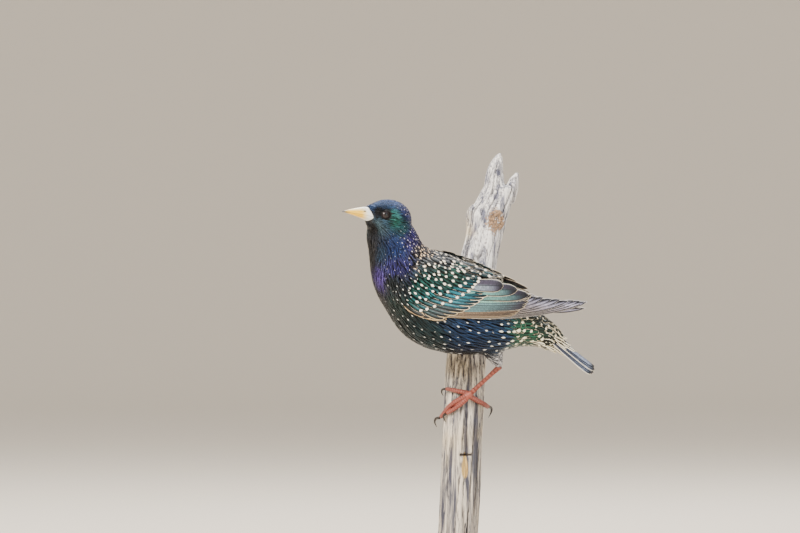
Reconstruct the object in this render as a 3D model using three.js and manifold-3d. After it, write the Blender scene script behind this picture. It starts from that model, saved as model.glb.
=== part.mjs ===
// A common starling, life size and still, perched side-on on a weathered upright branch that
// a plain display stand holds up.
// Millimetres, +Z up. The origin is the centre of the stand's underside. The bird faces -X and
// its left side faces -Y.
import * as THREE from "three";
import { mergeVertices } from "three/addons/utils/BufferGeometryUtils.js";
import Module from "manifold-3d";

const wasm = await Module();
wasm.setup();

// Driving dimensions
const GAP = 0.3; // between pieces that touch
const BIRD_Y = -36; // the bird's mid-plane stands in front of the branch
const BIRD_ROLL = THREE.MathUtils.degToRad(10); // the back leans towards -Y
const ROLL_HEIGHT = 190; // the height of the line that the bird rolls about
const HEAD_CENTRE = [-48.8, -46, 249.5];
const HEAD_TURN = THREE.MathUtils.degToRad(36); // the face turns towards -Y
const EYE_RADIUS = 3.2;
const VANE_THICKNESS = 0.6;

// Solids and geometries

function solidOf(geometry) {
  const bare = geometry.index ? geometry.toNonIndexed() : geometry.clone();
  for (const name of Object.keys(bare.attributes)) {
    if (name !== "position") bare.deleteAttribute(name);
  }
  const merged = mergeVertices(bare, 1e-4);
  return new wasm.Manifold(
    new wasm.Mesh({
      numProp: 3,
      vertProperties: new Float32Array(merged.attributes.position.array),
      triVerts: new Uint32Array(merged.index.array),
    }),
  );
}

function fuse(solids) {
  return solids.reduce((whole, next) => whole.add(next));
}

// The largest closed surface alone, which drops loose scraps and fills sealed hollows.
function largest(solid) {
  return solid.decompose().sort((a, b) => b.volume() - a.volume())[0];
}

function geometryOf(solid) {
  const mesh = largest(solid).getMesh();
  const geometry = new THREE.BufferGeometry();
  geometry.setAttribute("position", new THREE.BufferAttribute(mesh.vertProperties, 3));
  geometry.setIndex(new THREE.BufferAttribute(mesh.triVerts, 1));
  geometry.computeVertexNormals();
  return geometry;
}

// A smooth curve through rows of numbers: at(u) is the row at u, from 0 at the first row to 1 at the last.
function rowsCurve(rows) {
  return (u) => {
    const place = Math.min(Math.max(u, 0), 1) * (rows.length - 1);
    const i = Math.min(Math.floor(place), rows.length - 2);
    const f = place - i;
    const row = (k) => rows[Math.min(Math.max(k, 0), rows.length - 1)];
    return rows[i].map((_, c) => {
      const [a, b, d, e] = [row(i - 1)[c], row(i)[c], row(i + 1)[c], row(i + 2)[c]];
      const cubic = (3 * b - a - 3 * d + e) * f ** 3 + (2 * a - 5 * b + 4 * d - e) * f ** 2;
      return 0.5 * (2 * b + (d - a) * f + cubic);
    });
  };
}

// A closed skin over rings of points, each ring with as many points as the next.
function loft(rings) {
  const count = rings[0].length;
  const points = rings.flat();
  const faces = [];
  for (let r = 0; r < rings.length - 1; r++) {
    for (let i = 0; i < count; i++) {
      const [a, b] = [r * count + i, r * count + ((i + 1) % count)];
      faces.push(a, b, b + count, a, b + count, a + count);
    }
  }
  for (const [ring, turn] of [[0, 1], [rings.length - 1, 0]]) {
    const centre = points.length;
    const middle = new THREE.Vector3();
    rings[ring].forEach((p) => middle.add(p));
    points.push(middle.divideScalar(count));
    for (let i = 0; i < count; i++) {
      const [a, b] = [ring * count + i, ring * count + ((i + 1) % count)];
      faces.push(...(turn ? [centre, b, a] : [centre, a, b]));
    }
  }
  const geometry = new THREE.BufferGeometry();
  geometry.setAttribute(
    "position",
    new THREE.Float32BufferAttribute(points.flatMap((p) => [p.x, p.y, p.z]), 3),
  );
  geometry.setIndex(faces);
  const solid = solidOf(geometry);
  return solid.volume() > 0 ? solid : solidOf(flipped(geometry));
}

function flipped(geometry) {
  const index = [...geometry.index.array];
  for (let i = 0; i < index.length; i += 3) [index[i + 1], index[i + 2]] = [index[i + 2], index[i + 1]];
  return geometry.clone().setIndex(index);
}

// An ellipse of points about a centre.
function ellipse(centre, up, side, halfUp, halfSide, sides) {
  return Array.from({ length: sides }, (_, i) => {
    const angle = (2 * Math.PI * i) / sides;
    return centre
      .clone()
      .addScaledVector(up, halfUp * Math.cos(angle))
      .addScaledVector(side, halfSide * Math.sin(angle));
  });
}

// A round tube through points, with a radius at each.
function tube(points, radii, sides, steps) {
  const curve = new THREE.CatmullRomCurve3(points);
  const radius = rowsCurve(radii.map((r) => [r]));
  const frames = curve.computeFrenetFrames(steps);
  return loft(
    Array.from({ length: steps + 1 }, (_, i) => {
      const u = i / steps;
      const [r] = radius(u);
      return ellipse(curve.getPointAt(u), frames.normals[i], frames.binormals[i], r, r, sides);
    }),
  );
}

function matrixOf(...steps) {
  return steps.reduce((whole, step) => whole.multiply(step), new THREE.Matrix4());
}

function moved(solid, matrix) {
  return solid.transform([...matrix.elements]);
}

const shift = (x, y, z) => new THREE.Matrix4().makeTranslation(x, y, z);

// The bird's own frame: its mid-plane is y = 0, and x and z are those of the part before the roll.
const birdToPart = matrixOf(
  shift(0, BIRD_Y, ROLL_HEIGHT),
  new THREE.Matrix4().makeRotationX(BIRD_ROLL),
  shift(0, 0, -ROLL_HEIGHT),
);
const partToBird = birdToPart.clone().invert();

// The head's own frame: +X towards the bill, +Y the bird's left, +Z up, from the head's centre. The
// bird holds its head level while its body leans.
const headToBird = matrixOf(
  partToBird,
  shift(...HEAD_CENTRE),
  new THREE.Matrix4().makeRotationZ(Math.PI + HEAD_TURN),
);

// Neck and torso: each row is the top edge's x and z, the bottom edge's x and z, and half the width.
const TRUNK_SIDES = 24;
const TRUNK_RINGS = 20;
const trunkAt = rowsCurve([
  [-43, 253, -62.5, 243.5, 9],
  [-34, 247.5, -62.8, 236.5, 12.5],
  [-28.5, 239.5, -61.4, 229.5, 14.8],
  [-25, 232.5, -60.4, 220, 17.5],
  [-20, 228.6, -59.2, 209.5, 21.5],
  [-13, 226, -55.4, 197.5, 25],
  [-5, 223.6, -48.4, 184.8, 27.4],
  [4, 219.6, -38.5, 170.8, 28.4],
  [14.5, 214.6, -24.5, 161.6, 28.2],
  [25.5, 208, -7.5, 157, 26.6],
  [35.5, 201.2, 10, 156, 23.8],
  [44.5, 194.6, 26.5, 157.8, 20],
  [52.5, 187.6, 41, 161.2, 15.4],
  [59.5, 181, 53.4, 161.6, 11.6],
  [65, 176.6, 59, 159, 9.6],
]);

function trunkSolid(grow) {
  const rings = [];
  for (let i = 0; i <= TRUNK_RINGS; i++) {
    const [topX, topZ, lowX, lowZ, halfWidth] = trunkAt(i / TRUNK_RINGS);
    const top = new THREE.Vector3(topX, 0, topZ);
    const low = new THREE.Vector3(lowX, 0, lowZ);
    const up = top.clone().sub(low).normalize();
    const half = top.distanceTo(low) / 2 + grow;
    const centre = top.add(low).multiplyScalar(0.5);
    rings.push(ellipse(centre, up, new THREE.Vector3(0, 1, 0), half, halfWidth + grow, TRUNK_SIDES));
  }
  return loft(rings);
}

// Head: each row is the distance ahead of the head's centre, half the height, half the width and the rise.
const HEAD_SIDES = 22;
const HEAD_RINGS = 12;
const headAt = rowsCurve([
  [19.3, 3.2, 2.4, 4],
  [18.4, 5.2, 3.9, 2.6],
  [15.4, 7.4, 5.6, 0.6],
  [11, 9.7, 8.2, -0.2],
  [5.5, 11.6, 10.9, -0.2],
  [0, 12.4, 12.7, -0.4],
  [-5.5, 12.4, 13.2, -0.8],
  [-10.5, 11, 12, -1.4],
  [-14.5, 8, 9, -2.2],
  [-16.8, 3.4, 4, -2.8],
]);

function headSolid() {
  const rings = [];
  for (let i = 0; i <= HEAD_RINGS; i++) {
    const [ahead, halfHeight, halfWidth, rise] = headAt(i / HEAD_RINGS);
    const centre = new THREE.Vector3(ahead, 0, rise);
    rings.push(
      ellipse(centre, new THREE.Vector3(0, 0, 1), new THREE.Vector3(0, 1, 0), halfHeight, halfWidth, HEAD_SIDES),
    );
  }
  return moved(loft(rings), headToBird);
}

// Bill: each row is the distance ahead of the head's centre, the heights of the culmen, the line of
// the mouth and the lower edge, and half the width.
const BILL_RINGS = 7;
const BILL_SIDES = 8;
const billAt = rowsCurve([
  [12.4, 6.2, -0.2, -3.1, 6.4],
  [14.6, 6.9, 0.3, -2.5, 5.9],
  [18.5, 7.4, 0.9, -1.3, 4.4],
  [24, 6.7, 1.7, -0.1, 3],
  [30, 5.6, 2.5, 1.3, 1.95],
  [34.5, 4.6, 3.1, 2.5, 1.2],
  [37, 3.9, 3.45, 3.15, 0.6],
]);

function billSolid(upper, grow) {
  const rings = [];
  for (let i = 0; i <= BILL_RINGS; i++) {
    const [ahead, culmen, mouth, low, halfWidth] = billAt(i / BILL_RINGS);
    const edge = mouth + (upper ? 1 : -1) * (GAP / 2 - grow);
    const reach = (upper ? culmen : low) + (upper ? grow : -grow) - edge;
    const ring = [];
    for (let s = 0; s <= BILL_SIDES; s++) {
      const angle = (Math.PI * s) / BILL_SIDES;
      const across = (halfWidth + grow) * Math.cos(angle) * (1 - 0.12 * Math.sin(angle));
      ring.push(new THREE.Vector3(ahead, across, edge + reach * Math.sin(angle) ** 0.9));
    }
    rings.push(ring);
  }
  return moved(loft(rings), headToBird);
}

function nostrils() {
  const slot = new THREE.SphereGeometry(1, 10, 6);
  return [-1, 1].map((side) => {
    const place = matrixOf(
      headToBird,
      shift(20.6, side * 3.4, 4.1),
      new THREE.Matrix4().makeScale(1.5, 0.8, 0.6),
    );
    return moved(solidOf(slot), place);
  });
}

// Eyes, each with a raised ring of lid set in the head
const EYE_AHEAD = 8.1;
const EYE_SIDE = 7.3;
const EYE_RISE = 1.4;
const LID_THICKNESS = 0.65;

function eyeMatrix(side) {
  const outwards = new THREE.Matrix4().makeRotationX((-side * Math.PI) / 2);
  const forwards = new THREE.Matrix4().makeRotationZ(side * THREE.MathUtils.degToRad(-14));
  return matrixOf(headToBird, shift(EYE_AHEAD, side * EYE_SIDE, EYE_RISE), forwards, outwards);
}

function eyeSolid(side, radius) {
  return moved(solidOf(new THREE.SphereGeometry(radius, 12, 8)), eyeMatrix(side));
}

function lidSolid(side) {
  const ring = new THREE.TorusGeometry(EYE_RADIUS - 0.35, LID_THICKNESS, 5, 14);
  return moved(solidOf(ring), matrixOf(eyeMatrix(side), shift(0, 0, 1.75)));
}

// Thin cuts that part the flesh into head, neck and torso. Each row is a point on the cut's top edge
// and one on its bottom edge, as x and z.
const NECK_CUTS = [
  [-30.5, 246, -64.5, 239.5],
  [-22.5, 231.5, -60.5, 216],
];

function cutSlab([topX, topZ, lowX, lowZ]) {
  const slab = solidOf(new THREE.BoxGeometry(90, 90, GAP));
  const slope = Math.atan2(topZ - lowZ, topX - lowX);
  const turn = new THREE.Matrix4().makeRotationY(-slope);
  return moved(slab, matrixOf(shift((topX + lowX) / 2, 0, (topZ + lowZ) / 2), turn));
}

// The wing folded on the body's side. Each row is x, the bottom edge's z, the z where the surface
// meets the back, and how far the surface stands out at the bottom edge.
const wingAt = rowsCurve([
  [-46, 200, 232.5, 22],
  [-36, 192, 231, 25.4],
  [-24, 187.4, 229.6, 27.6],
  [-6, 184.6, 226, 28.7],
  [14.6, 185.2, 218.4, 27],
  [37.7, 185.8, 208.6, 20.6],
  [55.4, 186.8, 200.4, 14],
  [72, 188.8, 196.4, 9],
  [88.5, 191.8, 193.6, 6],
]);

// The row of a curve whose first number is x, found by halving.
function rowWhere(at, x) {
  let [low, high] = [0, 1];
  for (let i = 0; i < 24; i++) {
    const middle = (low + high) / 2;
    if (at(middle)[0] < x) low = middle;
    else high = middle;
  }
  return at(low);
}

const WING_INNER_EDGE = 2.6; // the closest that a wing comes to the mid-plane

// How far the wing's inner face stands out from the mid-plane at x and z.
function wingReach(x, z) {
  const [, bottom, back, out] = rowWhere(wingAt, x);
  const rise = Math.min(Math.max((z - bottom) / (back - bottom), 0), 0.985);
  return Math.max(out * Math.sqrt(1 - rise ** 2.2), WING_INNER_EDGE);
}

// A point of the left wing, raised from its inner face along the face's own outward direction. The
// body's lean lowers what stands out from the mid-plane, so seenZ is the height as it shows from the
// side, and the bird's own z is higher.
function wingPoint(x, seenZ, raise) {
  let z = seenZ;
  for (let i = 0; i < 4; i++) z = seenZ + wingReach(x, z) * Math.tan(BIRD_ROLL);
  const step = 0.5;
  const slopeX = (wingReach(x + step, z) - wingReach(x - step, z)) / (2 * step);
  const slopeZ = (wingReach(x, z + step) - wingReach(x, z - step)) / (2 * step);
  const outward = new THREE.Vector3(-slopeX, -1, -slopeZ * 0.6);
  outward.normalize().multiplyScalar(raise);
  return new THREE.Vector3(x, -wingReach(x, z), z).add(outward);
}

// A vane: a thin, round-tipped plate on the wing. root and tip are x and z, sag bends its middle down.
// Its shape is rows of how far along it is and how much of the full width it has there.
const LONG_VANE = [
  [0, 0.75],
  [0.4, 1],
  [0.78, 0.92],
  [0.94, 0.55],
];
const SHORT_VANE = [
  [0, 0.8],
  [0.62, 1],
  [0.9, 0.66],
];

function plate(left, right, tip) {
  const rings = left.map((pair, i) => [pair[0], right[i][0], right[i][1], pair[1]]);
  const points = rings.flat();
  const faces = [0, 2, 1, 0, 3, 2];
  for (let r = 0; r < rings.length - 1; r++) {
    for (let i = 0; i < 4; i++) {
      const [a, b] = [r * 4 + i, r * 4 + ((i + 1) % 4)];
      // The two faces of the plate are split along the same diagonal.
      if (i === 2) faces.push(a, b, a + 4, b, b + 4, a + 4);
      else faces.push(a, b, b + 4, a, b + 4, a + 4);
    }
  }
  const last = (rings.length - 1) * 4;
  points.push(tip[0], tip[1]);
  const [low, high] = [points.length - 2, points.length - 1];
  faces.push(last, last + 1, low, last + 2, last + 3, high);
  faces.push(last + 1, last + 2, high, last + 1, high, low, last + 3, last, low, last + 3, low, high);
  const geometry = new THREE.BufferGeometry();
  geometry.setAttribute(
    "position",
    new THREE.Float32BufferAttribute(points.flatMap((p) => [p.x, p.y, p.z]), 3),
  );
  geometry.setIndex(faces);
  const solid = solidOf(geometry);
  return solid.volume() > 0 ? solid : solidOf(flipped(geometry));
}

function wingVane({ root, tip, width, sag, rootLevel, tipLevel, thickness, shape }) {
  const along = new THREE.Vector2(tip[0] - root[0], tip[1] - root[1]);
  const across = new THREE.Vector2(-along.y, along.x).normalize();
  const sides = [-1, 1].map((side) =>
    shape.map(([u, share]) => {
      const drop = -4 * sag * u * (1 - u);
      const x = root[0] + along.x * u + across.x * (side * share * width) / 2;
      const z = root[1] + along.y * u + across.y * (side * share * width) / 2 + drop;
      const level = rootLevel + (tipLevel - rootLevel) * Math.min(1, u * 1.5);
      return [wingPoint(x, z, level), wingPoint(x, z, level + thickness)];
    }),
  );
  const end = [wingPoint(...tip, tipLevel), wingPoint(...tip, tipLevel + thickness * 0.8)];
  return plate(sides[0], sides[1], end);
}

// Tiers of feathers, each laid from the bottom edge upwards between a line of roots and a line of tips.
const WING_TIERS = {
  primaries: {
    count: 7,
    roots: [[8, 183], [12, 185.4]],
    tips: [[87.2, 191.6], [80, 192.2], [67, 193.2], [52, 195]],
    width: 5.8,
    sag: [2.6, 1],
    levels: [0.1, 1.2],
    lift: -0.2,
  },
  secondaries: {
    count: 5,
    roots: [[4, 185.4], [8, 195]],
    tips: [[38, 185.6], [43, 190], [47, 194.8]],
    width: 6.6,
    sag: [1, 1.2],
    levels: [1.4, 2.2],
    lift: 0,
  },
  tertials: {
    count: 3,
    roots: [[2, 198.4], [6.5, 206.4]],
    tips: [[46.2, 197.2], [39.4, 201.4], [29.6, 204.4]],
    width: 9.6,
    sag: [0, 0],
    levels: [2.3, 3],
    lift: 0.2,
  },
  greater_coverts: {
    count: 7,
    roots: [[-28, 190], [5, 204]],
    tips: [[-9.2, 182], [5.1, 187.6], [14.6, 193.5], [20.7, 200.7], [19, 206]],
    width: 7.4,
    sag: [1.4, 0],
    levels: [1.9, 2.9],
    lift: 0.5,
  },
  primary_coverts: {
    count: 3,
    roots: [[-33, 187.2], [-37, 191]],
    tips: [[-8.6, 180.6], [-14, 181.4], [-20, 182.8]],
    width: 4.6,
    sag: [1.6, 1],
    levels: [1.2, 1.7],
    lift: 0.2,
  },
  median_coverts: {
    count: 5,
    roots: [[-35, 195], [-3, 209.5]],
    tips: [[-22, 187.4], [-6, 192.8], [7, 201], [12, 207.4]],
    width: 8,
    sag: [1, 0],
    levels: [2.5, 3.4],
    lift: 0.8,
  },
  lesser_coverts: {
    count: 4,
    roots: [[-37, 200], [-15, 212.5]],
    tips: [[-26, 193], [-13, 198], [-2, 208.5]],
    width: 8,
    sag: [0.6, 0],
    levels: [3, 3.6],
    lift: 0.9,
  },
};

const LONGEST_SHORT_VANE = 30;

function wingTier({ count, roots, tips, width, sag, levels, lift }) {
  const rootAt = rowsCurve(roots);
  const tipAt = rowsCurve(tips);
  return Array.from({ length: count }, (_, i) => {
    const u = i / (count - 1);
    const tipLevel = levels[0] + (levels[1] - levels[0]) * u;
    const length = Math.hypot(tipAt(u)[0] - rootAt(u)[0], tipAt(u)[1] - rootAt(u)[1]);
    return wingVane({
      root: rootAt(u),
      tip: tipAt(u),
      width,
      sag: sag[0] + (sag[1] - sag[0]) * u,
      rootLevel: tipLevel - lift,
      tipLevel,
      thickness: VANE_THICKNESS,
      shape: length > LONGEST_SHORT_VANE ? LONG_VANE : SHORT_VANE,
    });
  });
}

// The arm of the wing under its feathers: a plate on the wing's surface from front to back. Each row
// is x, the bottom and top edges' z and the thickness.
const armAt = rowsCurve([
  [-41, 193, 202, 1.4],
  [-37, 188.4, 209.4, 2.3],
  [-27, 184, 216.6, 2.8],
  [-12, 181.4, 218.6, 2.9],
  [2, 181.4, 214.6, 2.7],
  [15, 182.4, 208.8, 2.3],
  [27, 183.6, 203.4, 1.8],
]);
const ARM_RINGS = 8;
const ARM_STEPS = 5;

function armSolid() {
  const rings = [];
  for (let i = 0; i <= ARM_RINGS; i++) {
    const [x, bottom, top, thickness] = armAt(i / ARM_RINGS);
    const steps = Array.from({ length: ARM_STEPS + 1 }, (_, s) => s / ARM_STEPS);
    const height = (u) => bottom + (top - bottom) * u;
    const inner = steps.map((u) => wingPoint(x, height(u), 0));
    const outer = steps.map((u) => wingPoint(x, height(u), thickness * (1 - 0.5 * Math.abs(2 * u - 1) ** 3)));
    rings.push([...inner, ...outer.reverse()]);
  }
  return loft(rings);
}

// The room that the wing takes from the torso: all that lies outside its inner face.
const seatAt = rowsCurve([
  [-43, 190, 205],
  [-38.5, 185.4, 211],
  [-28, 180.4, 218.2],
  [-12, 176.6, 220.4],
  [2, 176, 216.6],
  [15, 176.4, 212],
  [37, 179, 207],
  [55, 182, 201],
  [66, 184, 198.6],
]);
const SEAT_RINGS = 12;
const SEAT_STEPS = 6;
const SEAT_DEPTH = 16;
const SEAT_CLEARANCE = 0.8; // more than the gap, because the vanes run straight between their bends

function seatSolid() {
  const rings = [];
  for (let i = 0; i <= SEAT_RINGS; i++) {
    const [x, bottom, top] = seatAt(i / SEAT_RINGS);
    const heights = Array.from({ length: SEAT_STEPS + 1 }, (_, s) => bottom + ((top - bottom) * s) / SEAT_STEPS);
    const inner = heights.map((z) => wingPoint(x, z, -SEAT_CLEARANCE));
    const outer = [...heights].reverse().map((z) => wingPoint(x, z, SEAT_DEPTH));
    rings.push([...inner, ...outer]);
  }
  return loft(rings);
}

const leftToRight = new THREE.Matrix4().makeScale(1, -1, 1);
const WING_HINGE = [-38, 205]; // x and z of the shoulder
const RIGHT_WING_DROP = THREE.MathUtils.degToRad(3.2); // its tip hangs lower than the left one's
const RIGHT_WING_LIFT = THREE.MathUtils.degToRad(7); // and it sits higher round the back
const rightWingMatrix = matrixOf(
  shift(0, 0, ROLL_HEIGHT),
  new THREE.Matrix4().makeRotationX(RIGHT_WING_LIFT),
  shift(0, 0, -ROLL_HEIGHT),
  shift(WING_HINGE[0], 0, WING_HINGE[1]),
  new THREE.Matrix4().makeRotationY(RIGHT_WING_DROP),
  shift(-WING_HINGE[0], 0, -WING_HINGE[1]),
  leftToRight,
);

function wingSolid() {
  return fuse([armSolid(), ...Object.values(WING_TIERS).flatMap(wingTier)]);
}

// Tail, in its own frame: +X along the tail, +Y the bird's left, +Z its upper side.
const TAIL_ROOT = [57.6, 0, 172.4];
const TAIL_SLOPE = THREE.MathUtils.degToRad(37);
const TAIL_LENGTH = 43;
const TAIL_ROOT_DEPTH = 4; // how far the vanes reach back into the rump block
const RECTRIX_PAIRS = 6;
const RECTRIX_WIDTH = 9;
const tailToBird = matrixOf(
  shift(...TAIL_ROOT),
  new THREE.Matrix4().makeRotationY(TAIL_SLOPE),
);

function flatVane({ root, tip, width, rootLevel, tipLevel, thickness }) {
  const along = new THREE.Vector2(tip[0] - root[0], tip[1] - root[1]);
  const across = new THREE.Vector2(-along.y, along.x).normalize();
  const sides = [-1, 1].map((side) =>
    LONG_VANE.map(([u, share]) => {
      const x = root[0] + along.x * u + across.x * (side * share * width) / 2;
      const y = root[1] + along.y * u + across.y * (side * share * width) / 2;
      const level = rootLevel + (tipLevel - rootLevel) * u;
      return [new THREE.Vector3(x, y, level), new THREE.Vector3(x, y, level + thickness)];
    }),
  );
  const end = [0, thickness].map((rise) => new THREE.Vector3(...tip, tipLevel + rise));
  return plate(sides[0], sides[1], end);
}

// The block where the rump and the vent run into the tail: each row is x, top, bottom and half width.
const rumpAt = rowsCurve([
  [-2, 10.2, -9.6, 11.2],
  [4, 8, -8.2, 9.6],
  [12, 4.6, -6, 7.6],
  [20, 2.2, -3.6, 5.2],
]);
const RUMP_CUT = [62, 178.6, 55.4, 160.4]; // the cut's top and bottom edges, as x and z

function tailSolid() {
  const rings = [];
  for (let i = 0; i <= 4; i++) {
    const [x, top, low, halfWidth] = rumpAt(i / 4);
    const centre = new THREE.Vector3(x, 0, (top + low) / 2);
    rings.push(
      ellipse(centre, new THREE.Vector3(0, 0, 1), new THREE.Vector3(0, 1, 0), (top - low) / 2, halfWidth, 16),
    );
  }
  const pieces = [loft(rings)];
  for (let i = RECTRIX_PAIRS - 1; i >= 0; i--) {
    const level = 0.9 - 0.5 * i;
    for (const side of [-1, 1]) {
      pieces.push(
        flatVane({
          root: [TAIL_ROOT_DEPTH, side * (0.6 + 0.55 * i)],
          tip: [TAIL_LENGTH + 1.2 * Math.sin(i * 0.7), side * (2.4 + 1.75 * i)],
          width: RECTRIX_WIDTH,
          rootLevel: level * 0.8,
          tipLevel: level,
          thickness: VANE_THICKNESS,
        }),
      );
    }
  }
  const covertRows = [
    { count: 5, reach: 24, root: 2, rise: 4.4, end: 1.9, spread: 2.6, width: 5.6, face: 1 },
    { count: 4, reach: 17, root: 0, rise: 7, end: 4, spread: 3.2, width: 6, face: 1 },
    { count: 5, reach: 25, root: 2, rise: -5.6, end: -3.2, spread: 2.2, width: 5.6, face: -1 },
    { count: 4, reach: 17, root: 0, rise: -8, end: -5.6, spread: 3, width: 6, face: -1 },
  ];
  for (const { count, reach, root, rise, end, spread, width, face } of covertRows) {
    for (let i = 0; i < count; i++) {
      const place = i - (count - 1) / 2;
      const fall = face * 0.5 * Math.abs(place) ** 1.6;
      pieces.push(
        flatVane({
          root: [root, place * spread],
          tip: [reach - 1.2 * Math.abs(place), place * spread * 0.9],
          width,
          rootLevel: rise - fall - 0.35,
          tipLevel: end - fall - 0.35,
          thickness: 0.7,
        }),
      );
    }
  }
  return moved(fuse(pieces), tailToBird);
}

// All that lies beyond a cut, and half the gap before it.
function beyondCut([topX, topZ, lowX, lowZ], side) {
  const block = solidOf(new THREE.BoxGeometry(90, 90, 60));
  const slope = Math.atan2(topZ - lowZ, topX - lowX);
  const turn = new THREE.Matrix4().makeRotationY(-slope);
  const off = shift(0, 0, side * (30 - GAP / 2));
  return moved(block, matrixOf(shift((topX + lowX) / 2, 0, (topZ + lowZ) / 2), turn, off));
}

// Branch: each row is the height, the axis's x and y, and the radius.
const PERCH_SIDES = 16;
const PERCH_RINGS = 18;
const PERCH_BOTTOM = 30;
const perchAt = rowsCurve([
  [30, 0, 0, 13.8],
  [61, 1.7, 0.2, 13.8],
  [92, 3, 0.8, 13.7],
  [122, 4.3, 2.2, 13.9],
  [152, 5.6, 6, 13.8],
  [185, 9.2, 12, 13.4],
  [220, 14.2, 19, 12.9],
  [237, 18.3, 22.6, 12.9],
  [252, 21.6, 26, 13.9],
  [262, 26, 28.2, 12.7],
  [272, 30, 30.4, 11.4],
]);

// The branch isn't quite round: long hollows and ridges run up it.
function perchRadius(angle, z, radius) {
  const ridges = 0.035 * Math.sin(3 * angle + z * 0.021) + 0.022 * Math.sin(5 * angle - z * 0.034 + 1);
  return radius * (1 + ridges);
}

// A point at an angle about the branch: 0 faces -Y and a quarter turn faces +X.
function perchPoint(angle, z, off) {
  const [, x, y, radius] = rowWhere(perchAt, z);
  const reach = perchRadius(angle, z, radius) + off;
  return new THREE.Vector3(x + reach * Math.sin(angle), y - reach * Math.cos(angle), z);
}

function perchRing(z, shrink = 0) {
  return Array.from({ length: PERCH_SIDES }, (_, i) => perchPoint((2 * Math.PI * i) / PERCH_SIDES, z, -shrink));
}

// A spike left where the top split: rows of x, y, z and half sizes across x and y.
function splinter(rows) {
  const at = rowsCurve(rows);
  const rings = Array.from({ length: 7 }, (_, i) => {
    const [x, y, z, halfX, halfY] = at(i / 6);
    return ellipse(new THREE.Vector3(x, y, z), new THREE.Vector3(1, 0, 0), new THREE.Vector3(0, 1, 0), halfX, halfY, 10);
  });
  return loft(rings);
}

function boss(centre, sizes, tilt) {
  const turn = new THREE.Matrix4().makeRotationY(tilt);
  const size = new THREE.Matrix4().makeScale(...sizes);
  return moved(solidOf(new THREE.IcosahedronGeometry(1, 1)), matrixOf(shift(...centre), turn, size));
}

function perchSolid() {
  const top = 270;
  const rings = Array.from({ length: PERCH_RINGS + 1 }, (_, i) =>
    perchRing(PERCH_BOTTOM + ((top - PERCH_BOTTOM) * i) / PERCH_RINGS),
  );
  rings.push(perchRing(top + 1.4, 1.4), perchRing(top + 2, 4));
  const tallSplinter = splinter([
    [26.4, 29, 262, 10, 11.4],
    [25.6, 30.4, 272, 7.4, 10.4],
    [26, 31.5, 282, 5.8, 7.4],
    [27.4, 32.5, 289, 4.2, 5],
    [29.4, 33.2, 294.7, 1.2, 1.6],
  ]);
  const shortSplinter = splinter([
    [33, 29, 260, 6.4, 10.4],
    [37, 31, 269, 5, 9.4],
    [39.3, 32.4, 276, 3.2, 6],
    [41.6, 33, 281.2, 0.8, 1.4],
  ]);
  const brokenBranch = boss([11.6, 22.4, 251.4], [5.6, 6, 8.2], 0.35);
  const knotRing = boss([26.2, 13.6, 248], [6.8, 3.2, 7.6], 0.2);
  const knotHollow = boss([26.4, 8.6, 248.2], [5, 4, 5.6], 0.2);
  const scar = boss([5, -14.4, 86.6], [4.2, 2.2, 1.3], -0.1);
  return fuse([loft(rings), tallSplinter, shortSplinter, brokenBranch, knotRing])
    .subtract(knotHollow)
    .subtract(scar);
}

// Legs. A toe is a run of points about the branch, as angle in degrees, height and distance off it.
const TOE_SIDES = 7;
const TOE_STEPS = 6;

function aroundPerch(points) {
  return points.map(([degrees, z, off]) => perchPoint(THREE.MathUtils.degToRad(degrees), z, off));
}

const LEFT_FOOT = {
  middle: {
    toe: [[6, 127.6, 2.7], [-14, 124.6, 2.3], [-37, 120.4, 2.2], [-60, 116, 2.3], [-80, 112.8, 3.4]],
    claw: [[-86, 112, 4], [-94, 111.2, 6.4], [-97, 108.6, 6.8], [-98, 105.4, 5]],
    radii: [1.9, 1.7, 1.6, 1.5, 1.3],
  },
  inner: {
    toe: [[8, 129.2, 2.6], [-14, 130.4, 2.1], [-36, 131.4, 2], [-58, 132, 2]],
    claw: [[-64, 132, 2.2], [-76, 131.4, 3.6], [-86, 129.4, 3.2], [-92, 127, 1.4]],
    radii: [1.7, 1.5, 1.4, 1.15],
  },
  outer: {
    toe: [[6, 125.8, 2.5], [-10, 121.4, 2.1], [-27, 118, 2], [-46, 115.6, 2]],
    claw: [[-51, 115, 2.3], [-57, 113.6, 3.2], [-57, 111.4, 2.8], [-55, 109, 1.2]],
    radii: [1.7, 1.5, 1.4, 1.15],
  },
  hind: {
    toe: [[10, 127.6, 2.6], [32, 124.4, 2.3], [56, 121.8, 2.2], [80, 119.6, 2.6]],
    claw: [[87, 119.6, 3], [98, 118.4, 5], [100, 115.4, 5], [92, 112, 3.2]],
    radii: [1.9, 1.7, 1.6, 1.4],
  },
};
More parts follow.
